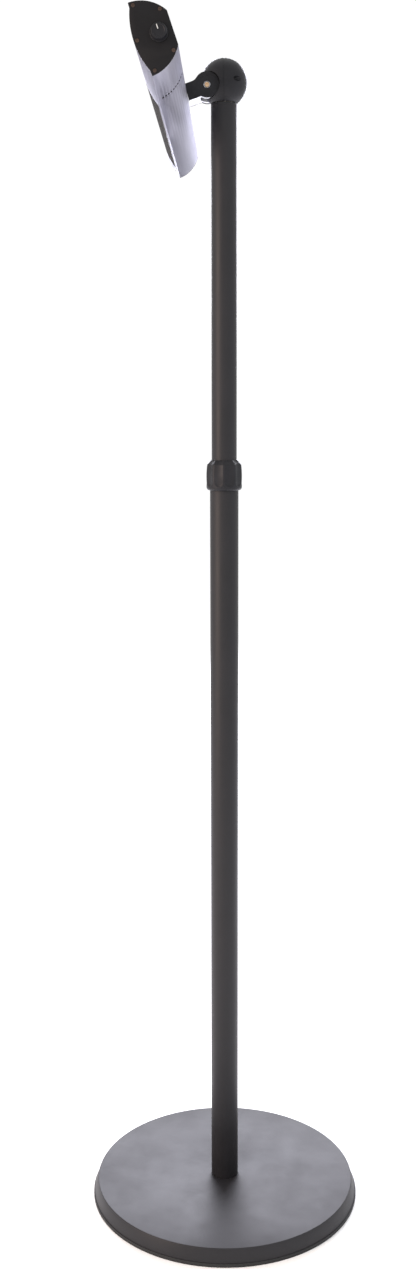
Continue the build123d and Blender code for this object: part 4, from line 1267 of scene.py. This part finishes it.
# ------------------------------------------------------------------ safety grille
# Curved steel wires, spot-welded to two long flat rails and two end strips and
# painted with heat-proof black. It sits in the window, flush with the front.
wire_radius = 0.9 * mm
wire_pitch = 7.5 * mm
rail_width = 2.0 * mm
rail_depth = 1.8 * mm
grille_fit = 0.15 * mm
wire_sides = 8
wire_steps = 24
wire_black = "0f0f10"
wire_scale = "252426"
front_rise = front_depth + lip.x
front_radius = (lip.y ** 2 + front_rise ** 2) / (2 * front_rise)
front_centre = -front_depth + front_radius


def heat_proof_paint():
    """Heat-proof silicone paint on wire: dead matt, scaly, greyer where it has been hot."""
    material, tree, shader = start_material("silicone_paint_matt_black")
    where = add_node(tree, "ShaderNodeTexCoord", {}, {}).outputs["Object"]
    scale = add_node(tree, "ShaderNodeTexNoise", {}, {"Vector": where, "Scale": 1 / (0.8 * mm), "Detail": 4.0})
    heat = add_node(tree, "ShaderNodeTexNoise", {}, {"Vector": where, "Scale": 1 / (30.0 * mm), "Detail": 3.0})
    tone = add_node(tree, "ShaderNodeMix", {"data_type": "RGBA"}, {
        "Factor": heat.outputs["Fac"], "A": linear_colour(wire_black), "B": linear_colour(wire_scale),
    })
    relief = add_node(
        tree, "ShaderNodeBump", {}, {"Height": scale.outputs["Fac"], "Strength": 0.5, "Distance": 0.03 * mm}
    )
    set_shader(tree, shader, {
        "Base Color": tone.outputs["Result"], "Roughness": 0.58, "Normal": relief.outputs["Normal"],
    })
    return material


def swept_round_front(name, corners, half_angle):
    """Spins a small outline of (outwards, along Y) corners round the front's own centre line."""
    pick_nothing()
    bpy.ops.mesh.primitive_circle_add(vertices=len(corners), fill_type="NGON")
    piece = bpy.context.object
    piece.name = name
    for point, (outwards, along) in zip(piece.data.vertices, corners):
        reach = front_radius + outwards
        point.co = (front_centre - reach * math.cos(half_angle), along, -reach * math.sin(half_angle))
    bpy.ops.object.mode_set(mode="EDIT")
    bpy.ops.mesh.select_all(action="SELECT")
    bpy.ops.mesh.spin(
        steps=wire_steps, angle=-2 * half_angle, center=(front_centre, 0, 0), axis=(0, 1, 0), dupli=False
    )
    bpy.ops.mesh.select_all(action="SELECT")
    bpy.ops.mesh.normals_make_consistent(inside=False)
    bpy.ops.object.mode_set(mode="OBJECT")
    return piece


grille_start = window_start + grille_fit
grille_end = window_end - grille_fit
grille_angle = math.asin((window_half - grille_fit) / front_radius)
wire_count = round((grille_end - grille_start) / wire_pitch) - 1
wire_spacing = (grille_end - grille_start) / (wire_count + 1)
wire_round = []
for index in range(wire_sides):
    turn = math.tau * index / wire_sides
    wire_round.append((-wire_radius + wire_radius * math.cos(turn), wire_radius * math.sin(turn)))
wires = swept_round_front("wires", wire_round, grille_angle - rail_width / (2 * front_radius))
row = wires.modifiers.new("row", "ARRAY")
row.count = wire_count
row.use_relative_offset = False
row.use_constant_offset = True
row.constant_offset_displace = (0, wire_spacing, 0)
apply_modifier(wires, row)
set_in_place(wires, Matrix.Translation((0, grille_start + wire_spacing, 0)))
grille_parts = [wires]
for along in (grille_start, grille_end - rail_width):
    strip = swept_round_front("end_strip", [
        (0, along), (0, along + rail_width), (-rail_depth, along + rail_width), (-rail_depth, along),
    ], grille_angle)
    grille_parts.append(strip)
for side in (-1, 1):
    middle_angle = side * (grille_angle - rail_width / (2 * front_radius))
    rail = square_block(
        "rail", (-front_radius, grille_start, -rail_width / 2), (-front_radius + rail_depth, grille_end, rail_width / 2)
    )
    round_edges(rail, 0.25 * mm, 2)
    set_in_place(rail, Matrix.Translation((front_centre, 0, 0)) @ Matrix.Rotation(middle_angle, 4, "Y"))
    grille_parts.append(rail)
grille = join_pieces(grille_parts)
grille.name = "safety_grille_wires"
set_in_place(grille, lean @ section_place)
smooth_faces(grille, 50.0)
hand_over(grille, heat_proof_paint(), "heater", "black_wire", "safety_grille")


# ------------------------------------------------------------------ power knob
# A turned-looking knob moulded in black ABS, pushed on the switch's shaft, with a
# dished face and a pale strip let into it as its pointer.
knob_radius = 10.5 * mm
knob_face_radius = 8.8 * mm
knob_gap = 0.5 * mm
knob_height = 9.5 * mm
knob_dish = 0.35 * mm
marker_half_width = 0.55 * mm
marker_inner = 1.6 * mm
marker_outer = 7.6 * mm
marker_depth = 0.4 * mm
knob_black = "121214"
knob_worn = "222226"
marker_white = "c9c9c6"
marker_grey = "b2b2b0"

knob_place = lean @ section_place @ Matrix.Translation((-knob_depth, -heater_half - knob_gap, 0))
knob_place = knob_place @ Matrix.Rotation(math.pi / 2, 4, "X")
knob = turned_piece("power_knob", [
    (3.1 * mm, 0.0),
    (5.0 * mm, 0.0),
    (5.0 * mm, 7.0 * mm),
    (knob_radius - 2.4 * mm, 7.0 * mm),
    (knob_radius - 2.4 * mm, 0.0),
    (knob_radius, 0.0),
    (knob_radius - 0.1 * mm, 1.6 * mm),
    (knob_radius - 0.55 * mm, 2.0 * mm),
    (knob_face_radius + 0.15 * mm, knob_height - 1.2 * mm),
    (knob_face_radius - 0.35 * mm, knob_height - 0.35 * mm),
    (knob_face_radius - 1.2 * mm, knob_height),
    (knob_face_radius - 1.9 * mm, knob_height),
    (knob_face_radius - 2.4 * mm, knob_height - knob_dish),
    (3.1 * mm, knob_height - knob_dish),
    (0.02 * mm, knob_height - knob_dish),
    (0.02 * mm, knob_height - 2.0 * mm),
    (3.1 * mm, knob_height - 2.0 * mm),
], 96, True)
marker_low = (-marker_half_width, marker_inner, knob_height - knob_dish - marker_depth)
marker_high = (marker_half_width, marker_outer, knob_height)
marker = square_block("knob_pointer", marker_low, marker_high)
combine(knob, twin(marker, "groove"))
round_edges(marker, 0.12 * mm, 2)
smooth_faces(knob, 30.0)
smooth_faces(marker, 30.0)
knob_plastic = moulded_plastic("abs_moulded_knob", knob_black, knob_worn, spark_grain, 0.36)
marker_plastic = moulded_plastic("pbt_moulded_white", marker_grey, marker_white, spark_grain, 0.45)
for piece, material, slot, node in (
    (knob, knob_plastic, "black_plastic", "control_knob"),
    (marker, marker_plastic, "white_mark", "knob_marker"),
):
    set_in_place(piece, knob_place)
    hand_over(piece, material, "knob", slot, node)


# ------------------------------------------------------------------ cable inlet
# A nylon gland screwed through the far cap, with a ribbed collar to turn it by
# and an open bore for the cable; its nut is inside the cap.
gland_radius = 8.0 * mm
gland_height = 10.0 * mm
gland_bore = 3.8 * mm
gland_inside = 8.0 * mm
gland_ribs = 16
gland_rib_depth = 0.7 * mm
gland_steps = gland_ribs * 12

gland = turned_piece("cable_gland_body", [
    (gland_bore, -gland_inside),
    (gland_hole, -gland_inside),
    (gland_hole, 0.0),
    (gland_radius, 0.0),
    (gland_radius, 6.0 * mm),
    (gland_radius - 0.5 * mm, 6.6 * mm),
    (gland_radius - 1.3 * mm, 6.8 * mm),
    (gland_radius - 1.9 * mm, 9.0 * mm),
    (gland_radius - 2.8 * mm, gland_height),
    (gland_bore + 0.5 * mm, gland_height),
    (gland_bore, gland_height - 0.5 * mm),
], gland_steps, True)
for point in gland.data.vertices:
    around = math.atan2(point.co.y, point.co.x)
    radius = math.hypot(point.co.x, point.co.y)
    if radius > gland_radius - 0.1 * mm and point.co.z > 0.3 * mm:
        sunk = gland_rib_depth * (0.5 - 0.5 * math.cos(around * gland_ribs)) ** 2
        point.co.x *= 1 - sunk / radius
        point.co.y *= 1 - sunk / radius
gland_place = lean @ section_place @ Matrix.Translation((-knob_depth, heater_half, 0))
set_in_place(gland, gland_place @ Matrix.Rotation(-math.pi / 2, 4, "X"))
smooth_faces(gland, 30.0)
hand_over(gland, nylon_black, "heater", "black_plastic", "cable_gland")
refinish("gland_nut", nylon_black)


# ------------------------------------------------------------------ inside the housing
# The switch, its terminal strip, the snap cut-out and the steel strip that the
# fork's screws pull on. They stay as they are and get their finish.
for node, material in (
    ("rotary_switch", cap_plastic),
    ("terminal_block", steatite),
    ("thermal_cutout", zinc),
    ("backing_plate", zinc),
    ("bracket_screws", zinc),
):
    refinish(node, material)
